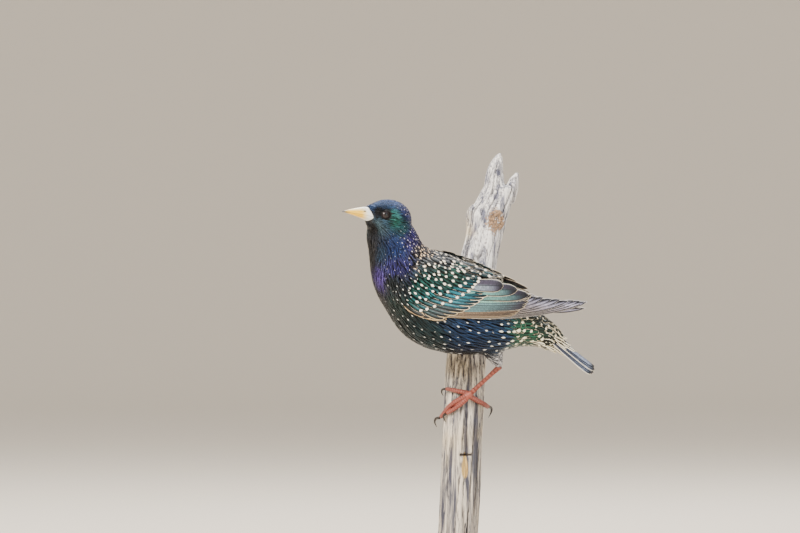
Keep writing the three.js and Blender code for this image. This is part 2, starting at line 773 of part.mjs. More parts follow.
const RIGHT_FOOT = {
  middle: {
    toe: [[16, 168, 2.7], [-6, 167.4, 2.3], [-30, 166.2, 2.2], [-54, 165, 2.3], [-76, 164.6, 2.6]],
    claw: [[-83, 164.8, 3], [-95, 165.2, 4.6], [-103, 163.6, 4.2], [-108, 161.6, 2.2]],
    radii: [1.9, 1.7, 1.6, 1.5, 1.3],
  },
  inner: {
    toe: [[16, 166.2, 2.5], [-4, 163.6, 2.1], [-24, 161.8, 2], [-42, 161.2, 2]],
    claw: [[-48, 161.4, 2.2], [-58, 162, 3.4], [-66, 161.2, 3], [-70, 159.4, 1.3]],
    radii: [1.7, 1.5, 1.4, 1.15],
  },
  outer: {
    toe: [[15, 169.8, 2.5], [-6, 172.4, 2.1], [-28, 174, 2], [-48, 174.6, 2]],
    claw: [[-54, 174.8, 2.2], [-66, 175, 3.4], [-75, 173.4, 3], [-80, 171, 1.3]],
    radii: [1.7, 1.5, 1.4, 1.15],
  },
  hind: {
    toe: [[20, 168, 2.6], [42, 167, 2.3], [66, 166.4, 2.2], [90, 166.2, 2.4]],
    claw: [[97, 166.2, 2.8], [110, 165.8, 4.4], [119, 163.6, 4], [122, 161, 2]],
    radii: [1.9, 1.7, 1.6, 1.4],
  },
};

function toeSolid({ toe, radii }) {
  return tube(aroundPerch(toe), radii, TOE_SIDES, TOE_STEPS);
}

function clawSolid({ claw, radii }) {
  const root = radii[radii.length - 1] * 0.82;
  return tube(aroundPerch(claw), [root, root * 0.8, root * 0.52, 0.22], 6, 6);
}

// A pad of joints where the toes meet, around the lower end of the shank.
function footSolid(foot, ankleEnd) {
  const heel = aroundPerch([[foot.hind.toe[0][0], foot.hind.toe[0][1] + 0.4, 3]])[0];
  const pad = moved(solidOf(new THREE.IcosahedronGeometry(2.6, 1)), shift(...heel.toArray()));
  const towards = ankleEnd.clone().sub(heel).normalize();
  const neck = tube([heel, heel.clone().addScaledVector(towards, 4.6)], [2.1, 1.6], 8, 2);
  return { solid: fuse([pad, neck, ...Object.values(foot).map(toeSolid)]), heel, towards };
}

function shankSolid(heel, towards, ankle) {
  const start = heel.clone().addScaledVector(towards, 4.6 + GAP);
  const points = [0, 0.3, 0.7, 1].map((u) => start.clone().lerp(ankle, u));
  return tube(points, [1.55, 1.4, 1.5, 2], 8, 6);
}

const LEFT_ANKLE = new THREE.Vector3(28.2, -26.5, 147.8);
const RIGHT_ANKLE = new THREE.Vector3(27, -20, 169);
const THIGH_TOP = new THREE.Vector3(17, -11, 176); // in the bird's frame, inside the belly

// Materials
function paint(color, roughness, metalness = 0) {
  return new THREE.MeshStandardMaterial({ color, roughness, metalness });
}
const plumage = paint(0x1d2a3a, 0.4, 0.2);
const wingFeathers = paint(0x2c4a4e, 0.45, 0.2);
const tailFeathers = paint(0x6d7280, 0.5);
const thighDown = paint(0x8f8f94, 0.8);
const legSkin = paint(0xc0685a, 0.5);
const clawHorn = paint(0x1c1814, 0.35);
const billHorn = paint(0xe8dfae, 0.35);
const eyeGloss = paint(0x0d0a08, 0.08);
const driedWood = paint(0xb4b0ab, 0.85);
const standWood = paint(0x3a2a20, 0.5);
const standSteel = paint(0xa8a8a8, 0.3, 1);

// Assembly
const part = new THREE.Group();
const bird = new THREE.Group();
bird.applyMatrix4(birdToPart);
part.add(bird);

function addNode(group, name, solid, material) {
  const mesh = new THREE.Mesh(geometryOf(solid), material);
  mesh.name = name;
  group.add(mesh);
}

const billUpper = billSolid(true, 0);
const billLower = billSolid(false, 0);
const nostrilSlots = fuse(nostrils());
addNode(bird, "bill_upper", billUpper.subtract(nostrilSlots), billHorn);
addNode(bird, "bill_lower", billLower, billHorn);
addNode(bird, "eye_left", eyeSolid(1, EYE_RADIUS), eyeGloss);
addNode(bird, "eye_right", eyeSolid(-1, EYE_RADIUS), eyeGloss);

const leftSeat = seatSolid();
const rightSeat = moved(leftSeat, rightWingMatrix);
const sockets = fuse([
  billSolid(true, GAP),
  billSolid(false, GAP),
  eyeSolid(1, EYE_RADIUS + GAP),
  eyeSolid(-1, EYE_RADIUS + GAP),
]);
const flesh = fuse([headSolid(), lidSolid(1), lidSolid(-1), trunkSolid(0)])
  .subtract(sockets)
  .subtract(leftSeat)
  .subtract(rightSeat)
  .subtract(beyondCut(RUMP_CUT, -1))
  .subtract(fuse(NECK_CUTS.map(cutSlab)));
const fleshPieces = flesh
  .decompose()
  .filter((piece) => piece.volume() > 500)
  .sort((a, b) => b.boundingBox().max[2] - a.boundingBox().max[2]);
["head", "neck", "torso"].forEach((name, i) => addNode(bird, name, fleshPieces[i], plumage));

const leftWing = wingSolid();
addNode(bird, "wing_left", leftWing, wingFeathers);
addNode(bird, "wing_right", moved(leftWing, rightWingMatrix), wingFeathers);
addNode(bird, "tail", tailSolid().subtract(beyondCut(RUMP_CUT, 1)), tailFeathers);

const thigh = tube(
  [
    THIGH_TOP,
    LEFT_ANKLE.clone().applyMatrix4(partToBird).lerp(THIGH_TOP, 0.45),
    LEFT_ANKLE.clone().applyMatrix4(partToBird).lerp(THIGH_TOP, 0.06),
  ],
  [10.5, 7.4, 3],
  12,
  6,
).subtract(trunkSolid(GAP));
addNode(bird, "thigh_left", thigh, thighDown);

const SIDES = [
  ["left", LEFT_FOOT, LEFT_ANKLE],
  ["right", RIGHT_FOOT, RIGHT_ANKLE],
];
const bodyClearance = moved(trunkSolid(GAP), birdToPart);
const thighClearance = moved(thigh, birdToPart);
for (const [side, foot, ankle] of SIDES) {
  const { solid, heel, towards } = footSolid(foot, ankle);
  addNode(part, `foot_${side}`, solid, legSkin);
  const shank = shankSolid(heel, towards, ankle).subtract(bodyClearance).subtract(thighClearance);
  addNode(part, `shank_${side}`, shank, legSkin);
  for (const [toe, shape] of Object.entries(foot)) {
    addNode(part, `claw_${side}_${toe}`, clawSolid(shape).subtract(solid), clawHorn);
  }
}

addNode(part, "perch", perchSolid(), driedWood);

// Stand
const STAND_RADIUS = 70;
const STAND_HEIGHT = 14;
const STAND_EDGE = 2.5;
const ROD_RADIUS = 4.5;
const standProfile = [
  [0, 0],
  [STAND_RADIUS - 1, 0],
  [STAND_RADIUS, 1],
  [STAND_RADIUS, STAND_HEIGHT - STAND_EDGE],
  [STAND_RADIUS - 0.3 * STAND_EDGE, STAND_HEIGHT - 0.3 * STAND_EDGE],
  [STAND_RADIUS - STAND_EDGE, STAND_HEIGHT],
  [0, STAND_HEIGHT],
].map(([r, z]) => new THREE.Vector2(r, z));
const upright = new THREE.Matrix4().makeRotationX(Math.PI / 2);
addNode(part, "stand_base", moved(solidOf(new THREE.LatheGeometry(standProfile, 32)), upright), standWood);
const rodLength = PERCH_BOTTOM - STAND_HEIGHT - 2 * GAP;
const rod = solidOf(new THREE.CylinderGeometry(ROD_RADIUS, ROD_RADIUS, rodLength, 20));
const rodPlace = matrixOf(shift(0, 0, STAND_HEIGHT + GAP + rodLength / 2), upright);
addNode(part, "stand_rod", moved(rod, rodPlace), standSteel);

export default part;
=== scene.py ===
import math

import bmesh
import bpy
import numpy as np
from mathutils import Matrix, Vector
from mathutils.bvhtree import BVHTree


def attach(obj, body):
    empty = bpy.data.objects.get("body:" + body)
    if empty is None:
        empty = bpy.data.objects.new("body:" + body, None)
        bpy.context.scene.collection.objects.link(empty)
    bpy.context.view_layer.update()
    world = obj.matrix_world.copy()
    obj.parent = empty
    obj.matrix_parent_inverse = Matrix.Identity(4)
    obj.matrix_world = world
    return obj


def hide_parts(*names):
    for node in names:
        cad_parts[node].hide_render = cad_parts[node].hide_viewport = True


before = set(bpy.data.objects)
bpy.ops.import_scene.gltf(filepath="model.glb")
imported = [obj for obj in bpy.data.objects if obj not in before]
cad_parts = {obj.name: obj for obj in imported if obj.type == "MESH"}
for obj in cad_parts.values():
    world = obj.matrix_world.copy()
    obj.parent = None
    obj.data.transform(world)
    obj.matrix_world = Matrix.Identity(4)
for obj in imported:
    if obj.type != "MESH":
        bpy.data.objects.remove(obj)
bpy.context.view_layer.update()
MM = 0.001

# Camera
# A long lens level with the bird's back and square to its left side, from about three metres away.
FOCUS = Vector((-39.8, -36, 216)) * MM
CAMERA_DISTANCE = 3.2
VIEW_WIDTH = 0.544
SENSOR_WIDTH = 36


def in_scene(name, data):
    """A new object in the scene, with the mesh, light or camera that it shows."""
    made = bpy.data.objects.new(name, data)
    bpy.context.scene.collection.objects.link(made)
    return made


camera_data = bpy.data.cameras.new("camera")
camera_data.sensor_width = SENSOR_WIDTH
camera_data.lens = SENSOR_WIDTH * CAMERA_DISTANCE / VIEW_WIDTH
camera = in_scene("camera", camera_data)
camera.location = FOCUS + Vector((0, -CAMERA_DISTANCE, 0))
camera.rotation_euler = (math.radians(90), 0, 0)
bpy.context.scene.camera = camera


# Skin
# One skin of dark down under the feathers, from the bill's base over head, neck and body to the rump
# and down the left thigh. It is two lofted forms and a tapered thigh, grown together and smoothed.
def smooth_rows(rows, count=260):
    """Rows of numbers at even steps along a smooth curve through the given rows."""
    rows = np.array(rows, float)
    u = np.linspace(0, len(rows) - 1, count)
    i = np.minimum(u.astype(int), len(rows) - 2)
    f = (u - i)[:, None]
    a, b, d, e = (rows[np.clip(i + k, 0, len(rows) - 1)] for k in (-1, 0, 1, 2))
    return 0.5 * (2 * b + (d - a) * f + (2 * a - 5 * b + 4 * d - e) * f**2 + (3 * b - a - 3 * d + e) * f**3)


def placed(points, matrix):
    turn = np.array(matrix)
    return np.asarray(points) @ turn[:3, :3].T + turn[:3, 3]


def ellipse_rings(centres, ups, sides, half_up, half_side, count):
    angle = np.linspace(0, 2 * math.pi, count, endpoint=False)[None, :, None]
    return (
        centres[:, None] + ups[:, None] * half_up[:, None, None] * np.cos(angle)
        + sides[:, None] * half_side[:, None, None] * np.sin(angle)
    )


def ring_faces(rings, count):
    """Quads between rings of points, with a flat cap at each end."""
    pairs = [(r * count + i, r * count + (i + 1) % count) for r in range(rings - 1) for i in range(count)]
    quads = [(a, b, b + count, a + count) for a, b in pairs]
    return [*quads, tuple(range(count))[::-1], tuple(range((rings - 1) * count, rings * count))]


def piece_of(name, shape, mesh=None):
    """A piece from a bmesh, which is freed."""
    mesh = mesh or bpy.data.meshes.new(name)
    shape.to_mesh(mesh)
    shape.free()
    return in_scene(name, mesh)


def mesh_object(name, points_mm, faces):
    mesh = bpy.data.meshes.new(name)
    mesh.from_pydata((np.asarray(points_mm) * MM).tolist(), [], faces)
    shape = bmesh.new()
    shape.from_mesh(mesh)
    bmesh.ops.recalc_face_normals(shape, faces=shape.faces)
    return piece_of(name, shape, mesh)


def smooth_shade(mesh, sharp_degrees=None):
    mesh.polygons.foreach_set("use_smooth", [True] * len(mesh.polygons))
    if sharp_degrees:
        mesh.set_sharp_from_angle(angle=math.radians(sharp_degrees))


def settled(piece):
    """The piece with its modifiers made part of its mesh."""
    graph = bpy.context.evaluated_depsgraph_get()
    mesh = bpy.data.meshes.new_from_object(piece.evaluated_get(graph))
    piece.modifiers.clear()
    piece.data = mesh
    return piece


def grown_together(name, shapes, voxel_mm, smoothing):
    """One closed skin over several closed shapes, each a pair of points and faces."""
    points, faces = [], []
    for shape_points, shape_faces in shapes:
        shift = sum(len(p) for p in points)
        points.append(shape_points)
        faces += [tuple(v + shift for v in face) for face in shape_faces]
    piece = mesh_object(name, np.concatenate(points), faces)
    remesh = piece.modifiers.new("grow together", "REMESH")
    remesh.mode = "VOXEL"
    remesh.voxel_size = voxel_mm * MM
    smooth = piece.modifiers.new("smooth", "SMOOTH")
    smooth.factor = 0.5
    smooth.iterations = smoothing
    return settled(piece)


def points_of(mesh):
    points = np.empty(len(mesh.vertices) * 3)
    mesh.vertices.foreach_get("co", points)
    return points.reshape(-1, 3) / MM


def normals_of(mesh):
    normals = np.empty(len(mesh.vertices) * 3)
    mesh.vertices.foreach_get("normal", normals)
    return normals.reshape(-1, 3)


# The bird leans towards -Y about a line at 190 mm. The head is held level and turned to its left.
LEAN_DEGREES, LEAN_LINE = 10, 190
BIRD = (Matrix.Translation((0, -36, LEAN_LINE)) @ Matrix.Rotation(math.radians(LEAN_DEGREES), 4, "X")
        @ Matrix.Translation((0, 0, -LEAN_LINE)))
HEAD = Matrix.Translation((-48.8, -46, 249.5)) @ Matrix.Rotation(math.radians(216), 4, "Z")
# Top edge's x and z, bottom edge's x and z, half width
TRUNK = smooth_rows([
    (-43, 253, -62.5, 243.5, 9), (-34, 247.5, -62.8, 236.5, 12.5), (-28.5, 239.5, -61.4, 229.5, 14.8),
    (-25, 232.5, -60.4, 220, 17.5), (-20, 228.6, -59.2, 209.5, 21.5), (-13, 226, -55.4, 197.5, 25),
    (-5, 223.6, -48.4, 184.8, 27.4), (4, 219.6, -38.5, 170.8, 28.4), (14.5, 214.6, -24.5, 161.6, 28.2),
    (25.5, 208, -7.5, 157, 26.6), (35.5, 201.2, 10, 156, 23.8), (44.5, 194.6, 26.5, 157.8, 20),
    (52.5, 187.6, 41, 161.2, 15.4), (59.5, 181, 53.4, 161.6, 11.6), (65, 176.6, 59, 159, 9.6),
    (69, 172.5, 63.5, 159, 6.5), (72, 169, 68, 160, 3),
], 90)
# Distance ahead of the head's centre, half height, half width, rise
SKULL = smooth_rows([
    (18.6, 2.2, 1.8, 4), (17.6, 4.6, 3.6, 2.6), (15, 7.3, 5.6, 0.8), (11, 9.7, 8.2, -0.2),
    (5.5, 11.6, 10.9, -0.2), (0, 12.4, 12.7, -0.4), (-5.5, 12.4, 13.2, -0.8), (-10.5, 11, 12, -1.4),
    (-14.5, 8, 9, -2.2), (-16.8, 3.4, 4, -2.8),
], 60)
top = np.stack([TRUNK[:, 0], np.zeros(len(TRUNK)), TRUNK[:, 1]], 1)
low = np.stack([TRUNK[:, 2], np.zeros(len(TRUNK)), TRUNK[:, 3]], 1)
height = np.linalg.norm(top - low, axis=1)
upwards = (top - low) / height[:, None]
TRUNK_SIDES, SKULL_SIDES, THIGH_SIDES, THIGH_RINGS = 64, 48, 24, 24
LEFT = np.array((0.0, 1.0, 0.0))
trunk_rings = ellipse_rings(
    (top + low) / 2, upwards, np.tile(LEFT, (len(TRUNK), 1)), height / 2, TRUNK[:, 4], TRUNK_SIDES)
ahead = np.stack([SKULL[:, 0], np.zeros(len(SKULL)), SKULL[:, 3]], 1)
upright = np.tile((0.0, 0.0, 1.0), (len(SKULL), 1))
head_rings = ellipse_rings(
    ahead, upright, np.tile(LEFT, (len(SKULL), 1)), SKULL[:, 1], SKULL[:, 2], SKULL_SIDES)

LEFT_ANKLE = np.array((28.2, -26.5, 147.8))
THIGH_TOP = np.array((17.0, -11.0, 176.0))
ankle = placed(LEFT_ANKLE, BIRD.inverted())
# Share of the way up from the ankle, and radius
thigh_line = smooth_rows([
    (*(ankle + (THIGH_TOP - ankle) * share), radius)
    for share, radius in ((1, 10), (0.45, 6.9), (0.14, 4.0), (0.02, 2.4))
], THIGH_RINGS)
down = (ankle - THIGH_TOP) / np.linalg.norm(ankle - THIGH_TOP)
across = np.cross(down, (0, 1, 0))
across /= np.linalg.norm(across)
thigh_rings = ellipse_rings(
    thigh_line[:, :3], np.tile(across, (THIGH_RINGS, 1)), np.tile(np.cross(down, across), (THIGH_RINGS, 1)),
    thigh_line[:, 3], thigh_line[:, 3], THIGH_SIDES,
)
skin = grown_together("skin", [
    (placed(trunk_rings.reshape(-1, 3), BIRD), ring_faces(len(TRUNK), TRUNK_SIDES)),
    (placed(head_rings.reshape(-1, 3), HEAD), ring_faces(len(SKULL), SKULL_SIDES)),
    (placed(thigh_rings.reshape(-1, 3), BIRD), ring_faces(THIGH_RINGS, THIGH_SIDES)),
], 0.9, 10)

# The folded wing lies on the body's side. Each row is x, the bottom edge's z, the z where its surface
# meets the back, and how far it stands out from the mid-plane at the bottom edge.
WING = smooth_rows([
    (-46, 200, 232.5, 22), (-36, 192, 231, 25.4), (-24, 187.4, 229.6, 27.6), (-6, 184.6, 226, 28.7),
    (14.6, 185.2, 218.4, 27), (37.7, 185.8, 208.6, 20.6), (55.4, 186.8, 200.4, 14), (72, 188.8, 196.4, 9),
    (88.5, 191.8, 193.6, 6),
])
LEAN = math.tan(math.radians(LEAN_DEGREES))


def wing_reach(x, z):
    bottom, back, out = (np.interp(x, WING[:, 0], WING[:, k]) for k in (1, 2, 3))
    rise = np.clip((z - bottom) / (back - bottom), 0, 0.985)
    return np.maximum(out * np.sqrt(1 - rise**2.2), 2.6)


def wing_points(x, seen_z, level):
    """Points of the left wing at a level off its inner face; seen_z is the height seen from the side."""
    x, seen_z = np.broadcast_arrays(np.asarray(x, float), np.asarray(seen_z, float))
    z = seen_z.copy()
    for _ in range(5):
        z = seen_z + wing_reach(x, z) * LEAN
    slope_x = wing_reach(x + 0.5, z) - wing_reach(x - 0.5, z)
    slope_z = wing_reach(x, z + 0.5) - wing_reach(x, z - 0.5)
    out = np.stack([-slope_x, -np.ones_like(x), -0.6 * slope_z], -1)
    out /= np.linalg.norm(out, axis=-1, keepdims=True)
    return np.stack([x, -wing_reach(x, z), z], -1) + out * np.asarray(level)[..., None]


# Seat: x, bottom and top as seen, which the skin leaves free for the wing
SEAT = smooth_rows([
    (-43, 192, 204), (-38.5, 187, 211), (-28, 182, 218), (-12, 178, 220), (2, 178, 217), (15, 178, 212),
    (37, 181, 206), (55, 183, 200.6), (66, 185, 198.6),
])
SIDES = {"left": Matrix.Identity(4), "right": (
    Matrix.Translation((0, 0, LEAN_LINE)) @ Matrix.Rotation(math.radians(7), 4, "X")
    @ Matrix.Translation((-38, 0, 15)) @ Matrix.Rotation(math.radians(3.2), 4, "Y")
    @ Matrix.Translation((38, 0, -205)) @ Matrix.Diagonal((1, -1, 1, 1))
)}


# The part of the seat where feathers lie under the wing, and the part of that where none grow
COVERED = np.array([
    (-37, 192, 206), (-28, 188, 212), (-12, 184, 214), (2, 184, 211), (15, 184, 205.5), (37, 187, 198),
    (55, 189, 194.5), (62, 191, 192),
])
HIDDEN = np.array([
    (-37, 192, 206), (-28, 188, 212), (-12, 184, 214), (2, 184, 209), (9, 184, 200), (15, 184, 190),
    (37, 187, 189), (55, 189, 190), (62, 191, 191),
])


def in_zone(points, zone):
    """Whether points on the left wing's side lie in a zone of rows of x, bottom and top as seen."""
    seen = points[:, 2] + points[:, 1] * LEAN
    bottom, upper = (np.interp(points[:, 0], zone[:, 0], zone[:, k]) for k in (1, 2))
    along = (points[:, 0] > zone[0, 0]) & (points[:, 0] < zone[-1, 0])
    return along & (points[:, 1] < 0) & (seen > bottom) & (seen < upper)


# Tracts of plumage
# Each tract of the coat has feathers of its own length, width, spacing and colour: a dark ground, the
# gloss along each feather's middle, and the pale mark at its tip, which is what spots the bird.
def hex_colour(text):
    """An sRGB hex colour as linear values."""
    values = [int(text[i : i + 2], 16) / 255 for i in (1, 3, 5)]
    return [v / 12.92 if v <= 0.04045 else ((v + 0.055) / 1.055) ** 2.4 for v in values]


# Place, reach, length, width, spacing, ground, gloss, pale, spot, rim, distance between spots
HEAD_TRACTS = {
    "forehead": ((13, 1, 9.5), 4, 2.64, 0.66, 0.68, "#0a1020", "#365688", "#a8b6d4", 0, 0, 9),
    "crown": ((2, 2, 12.5), 7, 3.84, 0.82, 0.85, "#080e20", "#3a5c98", "#c9d2e8", 0.7, 0, 1.7),
    "brow": ((7.5, 6.5, 8.2), 3.2, 2.88, 0.66, 0.72, "#060b16", "#26436a", "#c9d2e8", 0, 0, 9),
    "lores": ((12.6, 5.6, 4.0), 2.9, 2.16, 0.61, 0.62, "#020203", "#050508", "#101014", 0, 0, 9),
    "eye corner": ((8.6, 8.5, 3.6), 2.6, 2.16, 0.61, 0.62, "#030304", "#08090c", "#101014", 0, 0, 9),
    "below the eye": ((9.5, 8.5, -3.2), 2.6, 2.64, 0.66, 0.7, "#08111a", "#466a84", "#b9c6d0", 0, 0, 9),
    "malar": ((12.5, 6, -5.0), 3.6, 3.12, 0.74, 0.8, "#0a1218", "#54707e", "#b9c6d0", 0, 0, 9),
    "behind the eye": ((4.0, 11.5, 2.2), 2.4, 3.36, 0.74, 0.8, "#04100f", "#2f7f7c", "#cfece6", 0, 0, 9),
    "cheek": ((3.0, 11.5, -3), 3.4, 4.08, 0.78, 0.85, "#030c0b", "#24685f", "#cfece6", 0, 0, 9),
    "ear": ((-2.5, 12, -6.5), 5, 5.04, 0.82, 0.95, "#030c10", "#1b5058", "#d8ecf0", 0.65, 0, 2.4),
    "temple": ((-6, 11, 4), 5, 4.8, 0.9, 1.0, "#080a1c", "#2b3774", "#ece9f6", 0.95, 0, 1.7),
    "hind crown": ((-11, 3, 8), 6, 5.28, 0.98, 1.05, "#090818", "#2b2866", "#ece4f2", 1.05, 0, 1.5),
    "chin": ((14, 2.5, -6), 4, 4.32, 0.74, 0.85, "#040406", "#0d0c12", "#3c3a48", 0, 0, 9),
}
BODY_TRACTS = {
    "throat": ((-62, 4, 232), 9, 7.5, 1.25, 1.2, "#040305", "#0e0c14", "#8d86a0", 0, 0, 9),
    "neck front": ((-54, 13, 232), 5, 7.0, 1.15, 1.15, "#05080f", "#1b344e", "#d3dcee", 0.4, 0, 4),
    "neck side": ((-45, 14, 234), 6, 6.8, 1.2, 1.15, "#05091a", "#22376c", "#dfe6f6", 0.5, 0, 3.0),
    "neck back": ((-34, 10, 242), 7, 6.2, 1.3, 1.2, "#0b0a1c", "#332c74", "#efe9f5", 1.15, 0, 1.6),
    "purple band": ((-58, 13, 214), 5.5, 8.5, 1.3, 1.35, "#0b061a", "#584199", "#d9cdf0", 0.4, 0, 6),
    "neck root": ((-44, 16, 224), 5.5, 7.4, 1.3, 1.25, "#09091c", "#363372", "#e6dff2", 0.6, 0, 3.2),
    "breast front": ((-61, 2, 203), 10, 8.5, 1.3, 1.4, "#040305", "#0e0c15", "#b8b4c4", 0.5, 0, 5),
    "shoulder": ((-46, 19, 212), 5, 7.6, 1.5, 1.45, "#040608", "#0f1c22", "#e9ece9", 1.0, 0, 3.4),
    "breast side": ((-49, 21, 197), 7, 9.5, 1.6, 1.6, "#030707", "#0e2a28", "#eef2ee", 1.4, 0, 3.8),
    "breast low": ((-46, 8, 182), 9, 11, 1.8, 1.85, "#030506", "#0b2022", "#eef2ee", 1.5, 0, 5),
    "belly front": ((-28, 19, 174), 9, 12.5, 1.9, 2.0, "#03080a", "#0e2e34", "#f2f4f2", 2.0, 0, 5.6),
    "belly side": ((-2, 24, 175), 10, 13, 2.1, 2.15, "#030712", "#14335a", "#f4f6f6", 2.7, 0, 5.4),
    "belly": ((-6, 5, 156), 12, 13, 2.2, 2.2, "#030508", "#0a1a28", "#f4f6f6", 2.7, 0, 5.2),
    "flank": ((18, 22, 171), 8, 12, 2.3, 2.2, "#040915", "#193b62", "#f4f4ea", 3.0, 0, 4.8),
    "rear flank": ((36, 14, 172), 8, 9.5, 3.3, 2.5, "#040a07", "#1a5540", "#f6f1cf", 3.2, 0.2, 3.3),
    "vent": ((50, 6, 163), 7, 10.5, 4.4, 2.9, "#040404", "#0c120f", "#f6efd2", 2.2, 0.75, 3.6),
    "upper mantle": ((-27, 9, 230), 6, 5.6, 2.0, 1.7, "#0b080a", "#1f1a22", "#efd2ad", 2.1, 0, 2.0),
    "mantle": ((-12, 9, 223), 9, 7.2, 2.4, 2.1, "#08090c", "#17202a", "#f8efdc", 2.2, 0, 2.7),
    "scapular": ((-20, 19, 218), 7, 7.6, 2.4, 2.1, "#050b0a", "#123432", "#f8f2e4", 2.2, 0, 3),
    "back": ((14, 8, 211), 10, 8.5, 2.8, 2.4, "#0a0c10", "#1d2732", "#f4ecda", 2.0, 0.2, 3.4),
    "rump": ((46, 8, 190), 10, 8.5, 3.2, 2.6, "#0b0e0b", "#222e2a", "#f2e9cc", 1.8, 0.3, 3),
    "thigh": ((26, 1, 151), 8, 6.6, 1.8, 1.15, "#1c1d22", "#54565e", "#cfced2", 1.8, 0.28, 1.7),
}
# Places on the wing as seen from the side
WING_TRACTS = {
    "collar": ((-33, 0, 219), 6, 6.4, 2.1, 1.7, "#0d0909", "#211b1f", "#efd2ad", 2.5, 0, 2.0),
    "mantle": ((-16, 0, 221), 8, 8, 2.4, 2.1, "#08080a", "#161e22", "#f8eedc", 2.4, 0, 2.6),
    "scapulars": ((-10, 0, 212), 7, 9.5, 2.6, 2.3, "#030706", "#143f38", "#fdf6ea", 2.9, 0, 3.4),
    "rear scapulars": ((8, 0, 210), 7, 11, 2.9, 2.5, "#04090a", "#1a4044", "#fbf4e8", 2.7, 0, 3.2),
    "upper back": ((6, 0, 217), 5, 9.5, 2.8, 2.4, "#07090c", "#1d2630", "#f6ecda", 2.2, 0.2, 3.2),
    "shoulder": ((-39, 0, 208), 5, 6.5, 2.0, 1.7, "#030706", "#0f2c29", "#f4f4ee", 1.8, 0, 3.0),
    "lesser coverts": ((-29, 0, 207), 7, 8.5, 2.3, 2.1, "#030908", "#154c46", "#fdf8ee", 2.8, 0, 3.3),
    "lower coverts": ((-24, 0, 198), 7, 9.5, 2.5, 2.2, "#03090a", "#176066", "#fdf8ee", 2.8, 0, 3.6),
}


def mix_tracts(tables):
    """For places in each table's own frame, the mix of the tracts there as a dict of arrays."""
    weights, values = [], []
    for tracts, local in tables:
        local = local * (1, 0, 1) + np.abs(local) * (0, 1, 0)
        for centre, reach, length, width, spacing, ground, gloss, pale, *marks in tracts.values():
            away = np.linalg.norm(local - np.array(centre), axis=1) / reach
            weights.append(1 / (away**5 + 0.02))
            values.append([
                length, width, spacing, *hex_colour(ground), *hex_colour(gloss), *hex_colour(pale), *marks,
            ])
    weights = np.array(weights).T
    mixed = (weights / weights.sum(1, keepdims=True)) @ np.array(values)
    keys = ("length", "width", "spacing", "ground", "gloss", "pale", "spot", "rim", "spot_gap")
    columns = (0, 1, 2, slice(3, 6), slice(6, 9), slice(9, 12), 12, 13, 14)
    return {key: mixed[:, column] for key, column in zip(keys, columns)}


def body_tracts(points):
    return mix_tracts([
        (HEAD_TRACTS, placed(points, HEAD.inverted())), (BODY_TRACTS, placed(points, BIRD.inverted())),
    ])


def coat_depth(length):
    return np.clip(0.1 * length + 0.25, 0.4, 1.3)


def add_node(tree, kind, inputs=(), **settings):
    """A node whose inputs are linked to sockets, or set to values or hex colours."""
    node = tree.nodes.new(kind)
    for name, value in settings.items():
        setattr(node, name, value)
    for name, value in dict(inputs).items():
        if isinstance(value, bpy.types.NodeSocket):
            tree.links.new(value, node.inputs[name])
        else:
            is_colour = isinstance(value, str) and value.startswith("#")
            node.inputs[name].default_value = (*hex_colour(value), 1) if is_colour else value
    return node


def new_material(name):
    material = bpy.data.materials.new(name)
    material.use_nodes = True
    tree = material.node_tree
    tree.nodes.clear()
    return material, tree


def finish(tree, inputs):
    surface = add_node(tree, "ShaderNodeBsdfPrincipled", inputs)
    output = add_node(tree, "ShaderNodeOutputMaterial")
    tree.links.new(surface.outputs[0], output.inputs["Surface"])


def dress(piece, material, slot, *replaced):
    piece.data.materials.append(material)
    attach(piece, "root")
    if replaced:
        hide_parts(*replaced)


def set_values(mesh, name, values):
    """Stores a number, a vector or an opaque colour for each point of a mesh under a name."""
    values = np.asarray(values, np.float32)
    kind, field = {1: ("FLOAT", "value"), 3: ("FLOAT_VECTOR", "vector"), 4: ("FLOAT_COLOR", "color")}[
        values.size // len(values)]
    mesh.attributes.new(name, kind, "POINT").data.foreach_set(field, values.ravel())


def set_colours(mesh, name, colours):
    set_values(mesh, name, np.column_stack([colours, np.ones(len(colours))]))


# Under the wings the skin lies inside them, and everywhere it lies below the coat by its depth.
points = points_of(skin.data)
for side, matrix in SIDES.items():
    place = BIRD @ matrix
    local = placed(points, place.inverted())
    under = in_zone(local, SEAT)
    reach = wing_reach(local[:, 0], local[:, 2]) - 0.6
    proud = under & (-local[:, 1] > reach)
    local[proud, 1] = -reach[proud]
    points[proud] = placed(local[proud], place)
skin.data.vertices.foreach_set("co", (points * MM).ravel())
skin.data.update()
points = points - normals_of(skin.data) * coat_depth(body_tracts(points)["length"])[:, None]
skin.data.vertices.foreach_set("co", (points * MM).ravel())
skin.data.update()
smooth_shade(skin.data)
set_colours(skin.data, "ground", body_tracts(points)["ground"])
# Down and skin: matt and near black, with the dark ground colour of the feathers above it.
down_finish, tree = new_material("down over skin")
ground = add_node(tree, "ShaderNodeAttribute", attribute_name="ground")
place = add_node(tree, "ShaderNodeTexCoord")
tufts = add_node(tree, "ShaderNodeTexNoise", {"Vector": place.outputs["Object"], "Scale": 900, "Detail": 3})
lift = add_node(tree, "ShaderNodeBump", {"Height": tufts.outputs[0], "Strength": 0.5, "Distance": 0.0003})
finish(tree, {"Base Color": ground.outputs["Color"], "Roughness": 0.8, "Normal": lift.outputs[0]})
dress(skin, down_finish, "body_plumage", "head", "neck", "torso", "thigh_left")


# Contour feathers
# The coat of head, neck and body. Each feather is a thin closed vane with a raised shaft, rooted in the
# skin, that lies back over the next ones; lance-shaped on throat and breast, rounder behind.
BARB_GAP = 0.5


